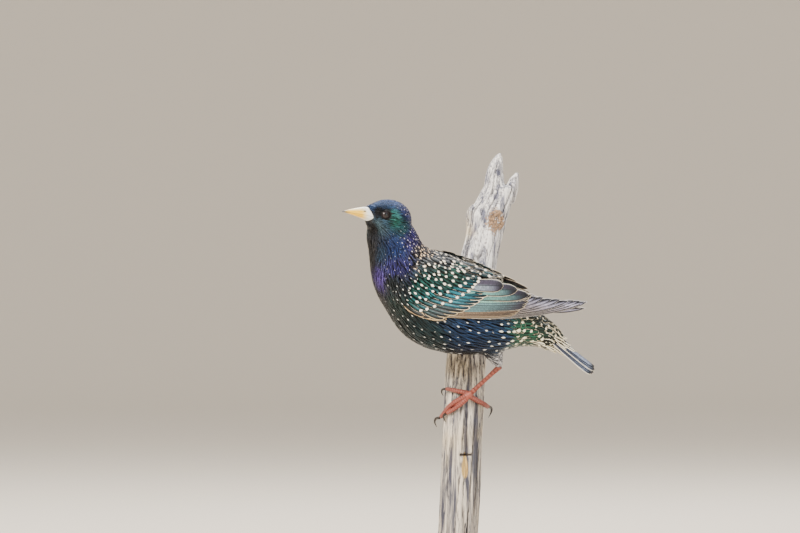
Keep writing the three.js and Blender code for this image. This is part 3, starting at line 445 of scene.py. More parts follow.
def feather_finish(name, metallic, roughness, web):
    """Keratin vane: dark, glossy with a coloured sheen, and matt and pale where it has no pigment.

    vane holds the distance from the tip, the place across from -1 to 1 and the distance from the edge,
    and mark holds the tip spot's length, the rim's width and the dark band's width, all in millimetres.
    """
    material, tree = new_material(name)
    stored = {n: add_node(tree, "ShaderNodeAttribute", attribute_name=n).outputs
              for n in ("vane", "mark", "ground", "gloss", "pale")}
    vane, mark = [
        add_node(tree, "ShaderNodeSeparateXYZ", {0: stored[n]["Vector"]}).outputs for n in ("vane", "mark")]
    ground, gloss, pale_colour = [stored[n]["Color"] for n in ("ground", "gloss", "pale")]
    across = add_node(tree, "ShaderNodeMath", {0: vane[1]}, operation="ABSOLUTE").outputs[0]
    place = vane[1] if web else across
    start, end = (0.3, -0.15) if web else (0.72, 0.1)
    streak = add_node(tree, "ShaderNodeMapRange", {
        "Value": place, "From Min": start, "From Max": end}, interpolation_type="SMOOTHSTEP").outputs[0]
    sheen = add_node(tree, "ShaderNodeMix", {0: streak, 6: ground, 7: gloss}, data_type="RGBA").outputs[2]
    # Barbs differ a little in shade, as streaks that run out from the shaft.
    barbs = add_node(tree, "ShaderNodeVectorMath", {
        0: stored["vane"]["Vector"], 1: (1.3, 1.2, 0.0)}, operation="MULTIPLY").outputs[0]
    shades = add_node(tree, "ShaderNodeTexNoise", {"Vector": barbs, "Scale": 1.6, "Detail": 4}).outputs[0]
    shades = add_node(tree, "ShaderNodeMapRange", {
        "Value": shades, "From Min": 0.35, "From Max": 0.65, "To Min": 0.55, "To Max": 1.35}).outputs[0]
    sheen = add_node(tree, "ShaderNodeVectorMath", {0: sheen, "Scale": shades}, operation="SCALE").outputs[0]
    # The pale tip spot, the pale rim and the dark band inside it: how far each reaches, the distance that is
    # set against it, how soft its edge is, and the size under which there is none.
    taper = add_node(tree, "ShaderNodeMath", {0: across, 1: -0.6, 2: 1.0}, operation="MULTIPLY_ADD").outputs[0]
    tapered = add_node(tree, "ShaderNodeMath", {0: mark[0], 1: taper}, operation="MULTIPLY").outputs[0]
    inner = add_node(tree, "ShaderNodeMath", {0: mark[1], 1: mark[2]}, operation="ADD").outputs[0]
    marked = []
    for reach, away, soft, size, least in (
        (tapered, vane[0], (-0.15, 0.15), mark[0], 0.15), (mark[1], vane[2], (-0.05, 0.08), mark[1], 0.06),
        (inner, vane[2], (-0.3, 0.3), mark[2], 0.01),
    ):
        near = add_node(tree, "ShaderNodeMath", {0: reach, 1: away}, operation="SUBTRACT").outputs[0]
        share = add_node(tree, "ShaderNodeMapRange", {
            "Value": near, "From Min": soft[0], "From Max": soft[1]}).outputs[0]
        there = add_node(tree, "ShaderNodeMath", {0: size, 1: least}, operation="GREATER_THAN").outputs[0]
        marked.append(add_node(tree, "ShaderNodeMath", {0: share, 1: there}, operation="MULTIPLY").outputs[0])
    spot, rim, dark = marked
    # The dark line of the shaft lies with the dark band under the pale marks.
    shaft = add_node(tree, "ShaderNodeMapRange", {
        "Value": across, "From Min": 0.11, "From Max": 0.04, "To Max": 0.8 if web else 0.25}).outputs[0]
    dark = add_node(tree, "ShaderNodeMath", {0: dark, 1: shaft}, operation="MAXIMUM").outputs[0]
    sheen = add_node(tree, "ShaderNodeMix", {0: dark, 6: sheen, 7: (0.006, 0.006, 0.01, 1)},
                     data_type="RGBA").outputs[2]
    pale = add_node(tree, "ShaderNodeMath", {0: spot, 1: rim}, operation="MAXIMUM").outputs[0]
    colour = add_node(tree, "ShaderNodeMix", {0: pale, 6: sheen, 7: pale_colour}, data_type="RGBA").outputs[2]
    shine = add_node(tree, "ShaderNodeMapRange", {"Value": pale, "To Min": metallic, "To Max": 0.0}).outputs[0]
    rough = add_node(tree, "ShaderNodeMapRange", {"Value": pale, "To Min": roughness, "To Max": 0.7}).outputs[0]
    # Barbs run slantwise off the shaft. Real ones are 0.15 mm apart; these are drawn at 0.5 mm.
    slant = add_node(tree, "ShaderNodeMath", {
        0: across, 1: 1.6, 2: vane[0]}, operation="MULTIPLY_ADD").outputs[0]
    turns = 2 * math.pi / BARB_GAP
    ridge = add_node(tree, "ShaderNodeMath", {0: slant, 1: turns}, operation="MULTIPLY").outputs[0]
    ridge = add_node(tree, "ShaderNodeMath", {0: ridge}, operation="SINE").outputs[0]
    lift = add_node(tree, "ShaderNodeBump", {"Height": ridge, "Strength": 0.5, "Distance": 0.00008})
    finish(tree, {
        "Base Color": colour, "Metallic": shine, "Roughness": rough, "Normal": lift.outputs[0],
        "Specular IOR Level": 0.5,
    })
    return material


contour_finish = feather_finish("glossy contour feathers", 0.55, 0.33, False)
flight_finish = feather_finish("flight feathers", 0.25, 0.42, True)


def plumage_piece(name, parts, material, slot, replaced=()):
    """Joins vanes, each a dict of arrays, into one piece with its attributes and its OFBake map."""
    mesh = bpy.data.meshes.new(name)
    counts = [len(p["points"]) for p in parts]
    shifts = np.concatenate([[0], np.cumsum(counts)[:-1]])
    corners = np.concatenate([p["faces"] + s for p, s in zip(parts, shifts)]).astype(np.int32)
    points = np.concatenate([p["points"] for p in parts])
    mesh.vertices.add(len(points))
    mesh.vertices.foreach_set("co", (points * MM).astype(np.float32).ravel())
    mesh.loops.add(corners.size)
    mesh.loops.foreach_set("vertex_index", corners.ravel())
    mesh.polygons.add(len(corners))
    mesh.polygons.foreach_set("loop_start", np.arange(0, corners.size, 3, dtype=np.int32))
    mesh.polygons.foreach_set("use_smooth", np.ones(len(corners), bool))
    mesh.update(calc_edges=True)
    for key in ("vane", "mark"):
        set_values(mesh, key, np.concatenate([p[key] for p in parts]))
    for key in ("ground", "gloss", "pale"):
        set_colours(mesh, key, np.concatenate([p[key] for p in parts]))
    patches = np.concatenate([p["patch"] for p in parts]).astype(np.float32)
    mesh.uv_layers.new(name="OFBake").data.foreach_set("uv", patches[corners.ravel()].ravel())
    dress(in_scene(name, mesh), material, slot, *replaced)


rng = np.random.default_rng(7)


def spread(points, gaps):
    """The places in a list of points that are kept so that none lies nearer another than its gap."""
    cells, kept = {}, []
    size = max(gaps.max(), 0.5)
    for i, (point, gap) in enumerate(zip(points, gaps)):
        x, y, z = (point // size).astype(int)
        near = [
            j for dx in (-1, 0, 1) for dy in (-1, 0, 1) for dz in (-1, 0, 1)
            for j in cells.get((x + dx, y + dy, z + dz), ())
        ]
        if not near or (((points[near] - point) ** 2).sum(1) >= gap * gap).all():
            cells.setdefault((x, y, z), []).append(i)
            kept.append(i)
    return np.array(kept)


STATIONS = np.array((0, 0.28, 0.55, 0.78, 0.92, 1.0))
LANCE = np.array((0.35, 0.82, 1.0, 0.8, 0.48, 0.1))
ROUND = np.array((0.45, 0.85, 1.0, 0.95, 0.68, 0.15))
ACROSS = np.array((-1.0, -0.5, 0.5, 1.0, 0.0))
RAISE = np.array((0.0, 0.85, 0.85, 0.0, -0.35))
ROWS, RING = len(STATIONS), len(ACROSS)
ring_sides = [(r * RING + i, r * RING + (i + 1) % RING) for r in range(ROWS - 1) for i in range(RING)]
small_vane = [t for a, b in ring_sides for t in ((a, b, b + RING), (a, b + RING, a + RING))]
small_vane += [(0, 4, 3), (0, 3, 1), (1, 3, 2), (25, 28, 29), (25, 26, 28), (26, 27, 28)]
small_vane = np.array(small_vane)


def small_feathers(centres, normals, tracts, lengths, patches):
    """Closed vanes along rows of six places on the coat, with their normals, as a list of parts."""
    count = len(centres)
    runs = np.gradient(centres, axis=1)
    flats = np.cross(runs, normals)
    flats /= np.linalg.norm(flats, axis=2, keepdims=True)
    roundness = np.clip((tracts["width"] - 1.9) / 0.8, 0, 1)[:, None]
    half = (LANCE[None] * (1 - roundness) + ROUND[None] * roundness) * tracts["width"][:, None] / 2
    half = half * rng.uniform(0.88, 1.15, count)[:, None]
    rings = centres[:, :, None] + flats[:, :, None] * (half[:, :, None] * ACROSS)[..., None]
    rings = rings + normals[:, :, None] * (half[:, :, None] * 0.3 * RAISE)[..., None]
    from_tip = (1 - STATIONS)[None] * lengths[:, None]
    spotted = np.zeros(count, bool)
    order = rng.permutation(count)
    tips = centres[:, -1]
    spotted[order[spread(tips[order], tracts["spot_gap"][order])]] = True
    spots = tracts["spot"] * rng.uniform(0.75, 1.2, count) * spotted
    shade = rng.uniform(0.55, 1.5, count)
    parts = []
    one = np.ones((ROWS * RING, 1))
    for i in range(count):
        edge = ((1 - np.abs(ACROSS))[None] * half[i][:, None]).ravel()
        parts.append({
            "points": rings[i].reshape(-1, 3), "faces": small_vane,
            "vane": np.stack([np.repeat(from_tip[i], RING), np.tile(ACROSS, ROWS), edge], 1),
            "mark": one * (spots[i], tracts["rim"][i], 0), "ground": one * tracts["ground"][i],
            "gloss": one * tracts["gloss"][i] * shade[i], "pale": one * tracts["pale"][i],
            "patch": patches[i] + np.stack([
                0.0013 * np.tile(ACROSS, ROWS), 0.003 * (0.5 - np.repeat(STATIONS, RING))], 1),
        })
    return parts


# Roots are scattered over the skin, more thickly on the head, and thinned out to each tract's spacing. In
# a black wedge before each eye they also lie over the bill's base.
graph = bpy.context.evaluated_depsgraph_get()
skin_tree = BVHTree.FromObject(skin, graph)
skin.data.calc_loop_triangles()
skin_points = points_of(skin.data)
edges = skin_points[np.array([t.vertices for t in skin.data.loop_triangles])]
areas = np.linalg.norm(np.cross(edges[:, 1] - edges[:, 0], edges[:, 2] - edges[:, 0]), axis=1) / 2
from_head = np.linalg.norm(placed(edges.mean(1), HEAD.inverted()), axis=1)
HEAD_REACH = 21
areas *= np.where(from_head < HEAD_REACH, 5, 1)
CANDIDATES = 170000
chosen = rng.choice(len(edges), CANDIDATES, p=areas / areas.sum())
share = rng.random((CANDIDATES, 2))
share = np.where(share.sum(1, keepdims=True) > 1, 1 - share, share)
roots = edges[chosen, 0] + (edges[chosen, 1] - edges[chosen, 0]) * share[:, :1] + (
    edges[chosen, 2] - edges[chosen, 0]) * share[:, 1:]
# No feathers grow on the eyes, inside the bill, behind the rump or in the hidden zone under each wing.
EYE_PLACE = np.array((7.2, 7.8, 1.4))
in_head = placed(roots, HEAD.inverted())
in_bird = placed(roots, BIRD.inverted())
eye_gap = np.linalg.norm(in_head * (1, 0, 1) + np.abs(in_head) * (0, 1, 0) - EYE_PLACE, axis=1)
bill_edge = np.interp(in_head[:, 2], (-5, -3.6, -1.5, 1, 4, 7), (15.6, 15.4, 15.2, 15.2, 16.2, 17.6))
bill_low = np.interp(in_head[:, 0], (10.6, 12.4, 14.6, 18.5), (-4.4, -4.2, -3.4, -1.4))
in_bill = (in_head[:, 0] > bill_edge) & (in_head[:, 2] > bill_low) & (in_head[:, 2] < 7.5) & (
    np.linalg.norm(in_head, axis=1) < 22)
keep = (eye_gap > 4.0) & ~in_bill & (in_bird[:, 0] < 66)
for matrix in SIDES.values():
    keep &= ~in_zone(placed(roots, (BIRD @ matrix).inverted()), HIDDEN)
roots = roots[keep]
roots = roots[spread(roots, body_tracts(roots)["spacing"] * 0.92)]
in_bird = placed(roots, BIRD.inverted())
from_head = np.linalg.norm(placed(roots, HEAD.inverted()), axis=1)

# Feathers near a wing's front and upper edges lie over it, so they follow this outer surface.
ARM_THICKNESS = np.array([
    (-43, 0.6), (-41, 1.4), (-37, 2.3), (-27, 2.8), (-12, 2.9), (2, 2.7), (15, 2.3), (27, 1.8),
])


def arm_level(x):
    return np.interp(x, ARM_THICKNESS[:, 0], ARM_THICKNESS[:, 1])


outer_points, outer_faces = [skin_points * MM], [p.vertices[:] for p in skin.data.polygons]
OUTER_ROWS, OUTER_COLUMNS = 24, 60
xs = np.linspace(-42, 30, OUTER_COLUMNS)
for matrix in SIDES.values():
    rows = []
    for u in np.linspace(0, 1, OUTER_ROWS):
        bottom, upper = (np.interp(xs, SEAT[:, 0], SEAT[:, k]) for k in (1, 2))
        level = (arm_level(xs) + 1.0) * (1 - abs(2 * u - 1) ** 6) - 0.3
        rows.append(wing_points(xs, bottom + 3 + (upper - bottom - 2.5) * u, level))
    start = sum(len(p) for p in outer_points)
    outer_points.append(placed(np.concatenate(rows), BIRD @ matrix) * MM)
    corners = [start + r * OUTER_COLUMNS + i for r in range(OUTER_ROWS - 1) for i in range(OUTER_COLUMNS - 1)]
    outer_faces += [(a, a + 1, a + 1 + OUTER_COLUMNS, a + OUTER_COLUMNS) for a in corners]
outer_tree = BVHTree.FromPolygons(np.concatenate(outer_points).tolist(), outer_faces)

# The lie of the coat: away from the bill's base over the head, and along the body's axis behind it.
spine = placed((top + low) / 2, BIRD)
spine_run = np.gradient(spine, axis=0)
spine_run /= np.linalg.norm(spine_run, axis=1, keepdims=True)
BILL_BASE = placed((19, 0, 2), HEAD)
nearest = np.argmin(np.linalg.norm(roots[:, None] - spine[None], axis=2), axis=1)
fan = roots - BILL_BASE
fan /= np.linalg.norm(fan, axis=1, keepdims=True)
headward = np.clip((HEAD_REACH - from_head) / 9, 0, 1)[:, None]
lies = fan * headward + spine_run[nearest] * (1 - headward)
follow_wing = np.zeros(len(roots), bool)
for matrix in SIDES.values():
    local = placed(roots, (BIRD @ matrix).inverted())
    seen = local[:, 2] + local[:, 1] * LEAN
    middle = np.interp(local[:, 0], SEAT[:, 0], (SEAT[:, 1] + SEAT[:, 2]) / 2)
    follow_wing |= (local[:, 1] < 0) & ((seen > middle) | (local[:, 0] < -34)) & ~in_zone(local, COVERED)
count = len(roots)
tracts = body_tracts(roots)
lengths = tracts["length"] * rng.uniform(0.85, 1.15, count)
turn = rng.normal(0, 0.08, count)
centres, normals = np.zeros((2, count, ROWS, 3))
for i in range(count):
    place, normal, _, _ = skin_tree.find_nearest(Vector(roots[i] * MM))
    run = Vector(lies[i])
    run = (run - normal * run.dot(normal)).normalized()
    run = (run + normal.cross(run) * turn[i]).normalized()
    for k in range(ROWS):
        if k:
            place = place + run * ((STATIONS[k] - STATIONS[k - 1]) * lengths[i] * MM)
        hit, facing = None, None
        if follow_wing[i]:
            hit, facing, _, _ = outer_tree.ray_cast(place + normal * 0.006, -normal, 0.011)
        if hit is None:
            hit, facing, _, _ = skin_tree.find_nearest(place)
        if facing.dot(normal) < 0:
            facing = -facing
        normal = (normal + facing).normalized()
        place = hit
        run = (run - normal * run.dot(normal)).normalized()
        centres[i, k] = np.array(hit) / MM
        normals[i, k] = normal
lift = np.array((-0.25, 0.35, 0.7, 0.92, 1.0, 1.0))[None] * coat_depth(tracts["length"])[:, None]
centres += normals * (lift + rng.uniform(-0.08, 0.16, count)[:, None])[..., None]
around = in_bird - placed(spine[nearest], BIRD.inverted())
patches = np.stack([nearest / len(spine), np.arctan2(around[:, 1], around[:, 2]) / (2 * math.pi) + 0.5], 1)
coat = small_feathers(centres, normals, tracts, lengths, patches * 0.96 + 0.02)
on_head = from_head < 19
on_neck = ~on_head & (in_bird[:, 2] > 214) & (in_bird[:, 0] < -28)
above = in_bird[:, 2] > np.interp(in_bird[:, 0], (-60, 60), (215, 176))
on_thigh = ~on_head & (np.linalg.norm(in_bird - (27, 0.5, 149), axis=1) < 8) & (in_bird[:, 2] < 155)
body = ~on_head & ~on_neck & ~above & ~on_thigh
for name, members in {
    "head_plumage": on_head, "neck_plumage": on_neck, "back_plumage": ~on_head & ~on_neck & above,
    "breast_plumage": body & (in_bird[:, 0] < -20), "belly_plumage": body & (in_bird[:, 0] >= -20),
    "thigh_plumage": on_thigh,
}.items():
    slot = "thigh_down" if name == "thigh_plumage" else "body_plumage"
    plumage_piece(name, [coat[i] for i in np.flatnonzero(members)], contour_finish, slot)


# Wings
# Each folded wing is tiers of stiff vanes: the long flight feathers lowest, then the coverts in shorter
# rows, and over the shoulder and upper edge many small lesser coverts and scapulars, laid like tiles.
def vane_grid(root, tip, width, sag, root_level, tip_level, shape, place, thickness=0.28):
    """A vane as two grids, its outer and its inner face, and its coordinates."""
    u = np.linspace(0, 1, VANE_ROWS)
    v = np.linspace(-1, 1, VANE_COLUMNS)
    run = np.subtract(tip, root)
    side = np.array((-run[1], run[0])) / np.linalg.norm(run)
    half = np.interp(u, shape[0], shape[1]) * width / 2
    x = root[0] + run[0] * u[:, None] + side[0] * half[:, None] * v[None]
    z = root[1] + run[1] * u[:, None] + side[1] * half[:, None] * v[None] - 4 * sag * (u * (1 - u))[:, None]
    level = root_level + (tip_level - root_level) * np.minimum(1, u * 1.5)[:, None]
    camber = 0.06 * half[:, None] * (1 - v[None] ** 2) + 0.12 * np.exp(-((v[None] / 0.09) ** 2))
    outer = place(x, z, level + camber + thickness)
    inner = place(x, z, level + camber * np.ones_like(x))
    from_tip = (1 - u)[:, None] * np.linalg.norm(run) * np.ones_like(x)
    edge = np.minimum((1 - np.abs(v))[None] * half[:, None], from_tip)
    return outer, inner, np.stack([from_tip, v[None] * np.ones_like(x), edge], -1)


def grid_faces(rows, columns):
    """Triangles that close an outer and an inner grid of points into one shell."""
    size = rows * columns
    faces = []
    for r in range(rows - 1):
        for c in range(columns - 1):
            a, b = r * columns + c, r * columns + c + 1
            d, e = a + columns, b + columns
            faces += [(a, d, e), (a, e, b), (a + size, e + size, d + size), (a + size, b + size, e + size)]
    border = [*range(columns), *(r * columns + columns - 1 for r in range(1, rows))]
    border += [*(size - 1 - c for c in range(1, columns)), *(r * columns for r in range(rows - 2, 0, -1))]
    for a, b in zip(border, border[1:] + border[:1]):
        faces += [(a, b, b + size), (a, b + size, a + size)]
    return np.array(faces)


POINTED = ((0, 0.3, 0.7, 0.86, 0.95, 1), (0.7, 0.95, 1, 0.8, 0.5, 0.06))
BROAD = ((0, 0.3, 0.75, 0.9, 0.97, 1), (0.7, 0.95, 1, 0.82, 0.5, 0.1))
TERTIAL = ((0, 0.3, 0.7, 0.84, 0.94, 1), (0.7, 0.95, 1, 0.86, 0.56, 0.1))
# Count, roots, tips, width, sag, levels, lift, shape, and looks from the first feather to the last. A look
# is ground, gloss at the tip and at the base, pale, spot, rim, band and the dark end's length.
WING_TIERS = {
    "primaries": (9, [(8, 182.6), (12, 185.4)], [(87.2, 191.6), (80, 192.3), (67, 193.4), (52, 195)], 5.4,
                  (2.6, 1), (0.1, 1.25), -0.2, POINTED,
                  [("#16161f", "#9a99b0", "#7a6a5a", "#d6d2d2", 0, 0.14, 0.7, 4.5)]),
    "secondaries": (10, [(-10, 183.4), (6, 196)], [(38, 184.2), (44.5, 189.6), (48, 195.8)], 4.4, (0.4, 1.2),
                    (1.4, 2.2), 0, BROAD, [("#1e1814", "#5a4a3c", "#7a6650", "#bda988", 0, 0.26, 0.35, 2.5),
                                           ("#12141d", "#33323f", "#577c80", "#d9cdb8", 0, 0.24, 0.4, 3.5),
                                           ("#10131b", "#3c3c4c", "#7fb8ac", "#dccfb9", 0, 0.24, 0.45, 5)]),
    "tertials": (3, [(2, 197.2), (6.5, 203.2)], [(46.2, 196.4), (38.4, 199.4), (28.6, 202.2)], 8.4, (0, 0),
                 (2.3, 3.0), 0.2, TERTIAL, [("#2f2b3a", "#2d3542", "#5d8f8a", "#cfc2ae", 0, 0.26, 0.5, 8),
                                            ("#4a4456", "#57516a", "#7d8b98", "#cfc2ae", 0, 0.26, 0.5, 7)]),
    "greater coverts": (13, [(-29, 190), (4, 203)],
                        [(-9.6, 181.2), (3.4, 186.4), (13.6, 192.4), (20.4, 199), (21, 204)], 3.7, (1.4, 0.2),
                        (1.9, 2.9), 0.5, BROAD, [
                            ("#0a0a0b", "#1a1c20", "#20363a", "#ead6ae", 0.7, 0.34, 0.3, 0),
                            ("#05080b", "#0f2a34", "#1c6a78", "#f6ead0", 1.1, 0.34, 0.3, 0),
                            ("#05080b", "#0f2c36", "#237a84", "#f6ead0", 1.1, 0.34, 0.3, 0)]),
    "primary coverts": (5, [(-34, 187.6), (-37, 191.5)], [(-8.6, 180.4), (-14, 181), (-23, 182.8)], 3.6,
                        (1.6, 1), (1.2, 1.8), 0.2, POINTED,
                        [("#0c0d0e", "#222426", "#1a2426", "#cfb48c", 0, 0.3, 0, 0)]),
    "median coverts": (11, [(-35, 194), (-6, 208)], [(-24, 186.4), (-8, 191.4), (6, 198.6), (13, 205)], 3.5,
                       (0.8, 0), (2.5, 3.2), 0.7, BROAD, [
                           ("#030708", "#124e5a", "#104446", "#fdf6e6", 2.4, 0.1, 0, 0),
                           ("#030708", "#167084", "#125054", "#fdf6e6", 2.6, 0.1, 0, 0),
                           ("#030708", "#124650", "#104446", "#fdf6e6", 2.4, 0.1, 0, 0)]),
}


def along_line(points, u):
    rows = smooth_rows(points, 100)
    return np.array([np.interp(u, np.linspace(0, 1, 100), rows[:, k]) for k in range(rows.shape[1])])


VANE_ROWS, VANE_COLUMNS = 20, 9
vane_shell = grid_faces(VANE_ROWS, VANE_COLUMNS)
PATCHES_ACROSS = 10


def shell_part(grids, matrix, look, number, shade=1.0):
    """A placed vane's part, with a patch of its own in a grid over the wing or tail."""
    outer, inner, vane = grids
    ground, gloss_tip, gloss_base, pale, spot, rim, band, dusk = look
    points = np.concatenate([placed(outer, matrix).reshape(-1, 3), placed(inner, matrix).reshape(-1, 3)])
    flat = np.concatenate([vane.reshape(-1, 3)] * 2)
    one = np.ones((len(points), 1))
    u = (flat[:, 0] / max(flat[:, 0].max(), 0.01))[:, None]
    fade = np.clip((u - 0.12) / 0.45, 0, 1)
    shade = shade * (0.12 + 0.88 * np.clip(flat[:, :1] / max(dusk, 0.01) * 1.4 - 0.4, 0, 1))
    tip_colour, base_colour = np.array(hex_colour(gloss_tip)), np.array(hex_colour(gloss_base))
    corner = 0.02 + 0.096 * np.array((number % PATCHES_ACROSS, number // PATCHES_ACROSS))
    return {
        "points": points, "vane": flat, "mark": one * (spot, rim, band), "faces": vane_shell,
        "patch": corner + np.column_stack([(flat[:, 1] + 1) / 2, u]) * 0.085,
        "ground": one * np.array(hex_colour(ground)) * shade,
        "gloss": (tip_colour * (1 - fade) + base_colour * fade) * shade,
        "pale": one * hex_colour(pale),
    }


# Roots of the small feathers, as seen: x, the lowest and the highest
SMALL_ZONE = np.array([
    (-43, 201, 206), (-38, 197.5, 212), (-32, 197, 217.5), (-22, 200, 221.5), (-10, 204.5, 221.5),
    (2, 208.5, 218.5), (12, 210.5, 214),
])
for side, matrix in SIDES.items():
    place = BIRD @ matrix
    parts = {"coverts": [], "quills": []}
    number = 0
    for tier, (tier_count, root_line, tip_line, width, sag, levels, lift, shape, looks) in WING_TIERS.items():
        for i in range(tier_count):
            u = i / (tier_count - 1)
            level = levels[0] + (levels[1] - levels[0]) * u
            # The far wing is folded a little higher.
            higher = (0, 3.2 if side == "right" and tier == "tertials" else 0)
            grids = vane_grid(
                along_line(root_line, u) + higher, along_line(tip_line, u) + rng.normal(0, 0.2, 2) + higher,
                width, sag[0] + (sag[1] - sag[0]) * u, level - lift, level, shape, wing_points,
            )
            look = looks[round(u * (len(looks) - 1))]
            kind = "quills" if tier in ("primaries", "secondaries", "tertials") else "coverts"
            parts[kind].append(shell_part(grids, place, look, number, rng.uniform(0.6, 1.3)))
            number += 1
    # The flesh of the folded arm, under the small feathers
    u, v = np.linspace(0, 1, VANE_ROWS)[:, None], np.linspace(0, 1, VANE_COLUMNS)[None]
    x = -41.5 + 58 * u * np.ones_like(v)
    low_edge, high_edge = (np.interp(x, SEAT[:, 0], SEAT[:, k]) for k in (1, 2))
    z = low_edge + 3.5 + (high_edge - low_edge - 5) * (1 - v)
    dome = (arm_level(x) - 0.5) * (1 - abs(2 * v - 1) ** 4) * (1 - abs(2 * u - 1) ** 8)
    vane = np.stack([np.full_like(x, 9), np.zeros_like(x), np.full_like(x, 9)], -1)
    grids = wing_points(x, z, dome + 0.1), wing_points(x, z, dome * 0 - 0.3), vane
    parts["coverts"].append(shell_part(grids, place, ("#040606",) * 4 + (0,) * 4, number))
    if side == "right":
        for part in parts["quills"] + parts["coverts"]:
            part["faces"] = part["faces"][:, ::-1]
    for kind, surface in (("quills", flight_finish), ("coverts", contour_finish)):
        plumage_piece(f"wing_{kind}_{side}", parts[kind], surface, "wing_feathers", [f"wing_{side}"])
    # Small feathers point back and down, more steeply at the shoulder than behind.
    xs = rng.uniform(-43, 12, 9000)
    zs = rng.uniform(195, 223, 9000)
    inside = (zs > np.interp(xs, SMALL_ZONE[:, 0], SMALL_ZONE[:, 1])) & (
        zs < np.interp(xs, SMALL_ZONE[:, 0], SMALL_ZONE[:, 2]))
    seen = np.stack([xs, 0 * xs, zs], 1)[inside]
    seen = seen[spread(seen, mix_tracts([(WING_TRACTS, seen)])["spacing"] * 0.95)]
    tracts = mix_tracts([(WING_TRACTS, seen)])
    count = len(seen)
    lengths = tracts["length"] * rng.uniform(0.88, 1.12, count)
    slope = np.radians(np.interp(seen[:, 0], (-42, -30, -8, 12), (52, 46, 33, 24)) + rng.normal(0, 3, count))
    step = STATIONS[None] * lengths[:, None]
    x = seen[:, :1] + step * np.cos(slope)[:, None]
    z = seen[:, 2:] - step * np.sin(slope)[:, None] * (1 - 0.18 * STATIONS[None])
    # Rows further forward and up lie on those behind and below them.
    order = np.clip((12 - seen[:, 0]) / 55, 0, 1)[:, None]
    level = arm_level(x) + np.array((-0.5, 0.1, 0.45, 0.65, 0.75, 0.75))[None] + 0.25 * order
    level = level + rng.uniform(-0.08, 0.12, count)[:, None]
    rim_fall = np.clip((-38 - x) / 5, 0, 1)
    centres = wing_points(x, z, level - 1.2 * rim_fall)
    normals = wing_points(x, z, level + 1) - wing_points(x, z, level)
    normals /= np.linalg.norm(normals, axis=2, keepdims=True)
    turned = placed(centres.reshape(-1, 3), place).reshape(centres.shape)
    facing = (normals.reshape(-1, 3) @ np.array(place)[:3, :3].T).reshape(normals.shape)
    patches = np.stack([(seen[:, 0] + 44) / 60, (seen[:, 2] - 190) / 36], 1) * 0.9 + 0.04
    parts = small_feathers(turned, facing, tracts, lengths, patches)
    plumage_piece(f"wing_small_feathers_{side}", parts, contour_finish, "wing_feathers", [f"wing_{side}"])

# Tail
# Twelve stiff feathers in a closed stack, the middle pair uppermost. Shorter coverts lie over and under
# their bases in three rows each.
TAIL = BIRD @ Matrix.Translation((57.6, 0, 172.4)) @ Matrix.Rotation(math.radians(37), 4, "Y")
TAIL_LENGTH = 43


def tail_points(x, y, level):
    """The closed tail is a shallow roof, so its outer feathers hang a little."""
    return np.stack(np.broadcast_arrays(x, y, level - 0.22 * np.maximum(abs(y) - 1.5, 0)), -1)


parts = []
number = 0
TAIL_LOOK = ("#151a26", "#66738c", "#525d74", "#2c323f", 0, 0.22, 0.4, 5)
OUTER_TAIL_LOOK = ("#1c2230", "#8a96ac", "#7a8498", "#e2dccb", 0, 0.36, 0.4, 5)
for i in range(5, -1, -1):
    level = 0.9 - 0.5 * i
    for side in (-1, 1):
        grids = vane_grid(
            (4, side * (0.6 + 0.55 * i)), (TAIL_LENGTH + 1.2 * math.sin(i * 0.7), side * (2.4 + 1.75 * i)),
            8.4, 0, level * 0.8 + 0.02 * side, level + 0.02 * side, BROAD, tail_points, thickness=0.3,
        )
        look = OUTER_TAIL_LOOK if i in (5, 2) else TAIL_LOOK
        parts.append(shell_part(grids, TAIL, look, number))
        number += 1
plumage_piece("tail_quills", parts, flight_finish, "tail_feathers", ["tail"])
parts = []
# Count, reach, root, rise at root and tip, spread, width, which face, look
TAIL_COVERTS = [
    (7, 17, -2, 8.4, 5.4, 2.2, 4.6, 1, ("#0e0e0b", "#2a302c", "#2a302c", "#f0e8cc", 1.0, 0.7, 0, 0)),
    (6, 22, 0, 6.4, 3.2, 2.2, 4.8, 1, ("#101216", "#363e48", "#363e48", "#f2ead2", 0, 0.8, 0.3, 0)),
    (5, 27, 2, 4.2, 1.9, 2.2, 5.0, 1, ("#1c1f28", "#465060", "#465060", "#f2ead2", 0, 0.8, 0.3, 0)),
    (7, 17, -3, -9.4, -7.2, 2.4, 4.8, -1, ("#050506", "#0c100e", "#0c100e", "#f4ecd0", 0.5, 0.6, 0, 0)),
    (6, 23, 0, -7.8, -5.2, 2.2, 5.2, -1, ("#050506", "#0c100e", "#0c100e", "#f2e8cc", 0.5, 0.65, 0, 0)),
    (5, 31, 2, -5.6, -3.2, 2.0, 5.4, -1, ("#070708", "#101214", "#101214", "#f2e8cc", 0.5, 0.65, 0, 0)),
]
for tier_count, reach, root, rise, end, gap, width, face, look in TAIL_COVERTS:
    for i in range(tier_count):
        place = i - (tier_count - 1) / 2
        fall = face * 0.45 * abs(place) ** 1.6
        grids = vane_grid(
            (root, place * gap), (reach - 0.9 * abs(place), place * gap * 0.92), width, 0, rise - fall - 0.4,
            end - fall - 0.2 - 0.05 * i, POINTED, tail_points,
        )
        parts.append(shell_part(grids, TAIL, look, number, rng.uniform(0.85, 1.2)))
        number += 1
plumage_piece("tail_coverts", parts, contour_finish, "tail_feathers", ["tail"])

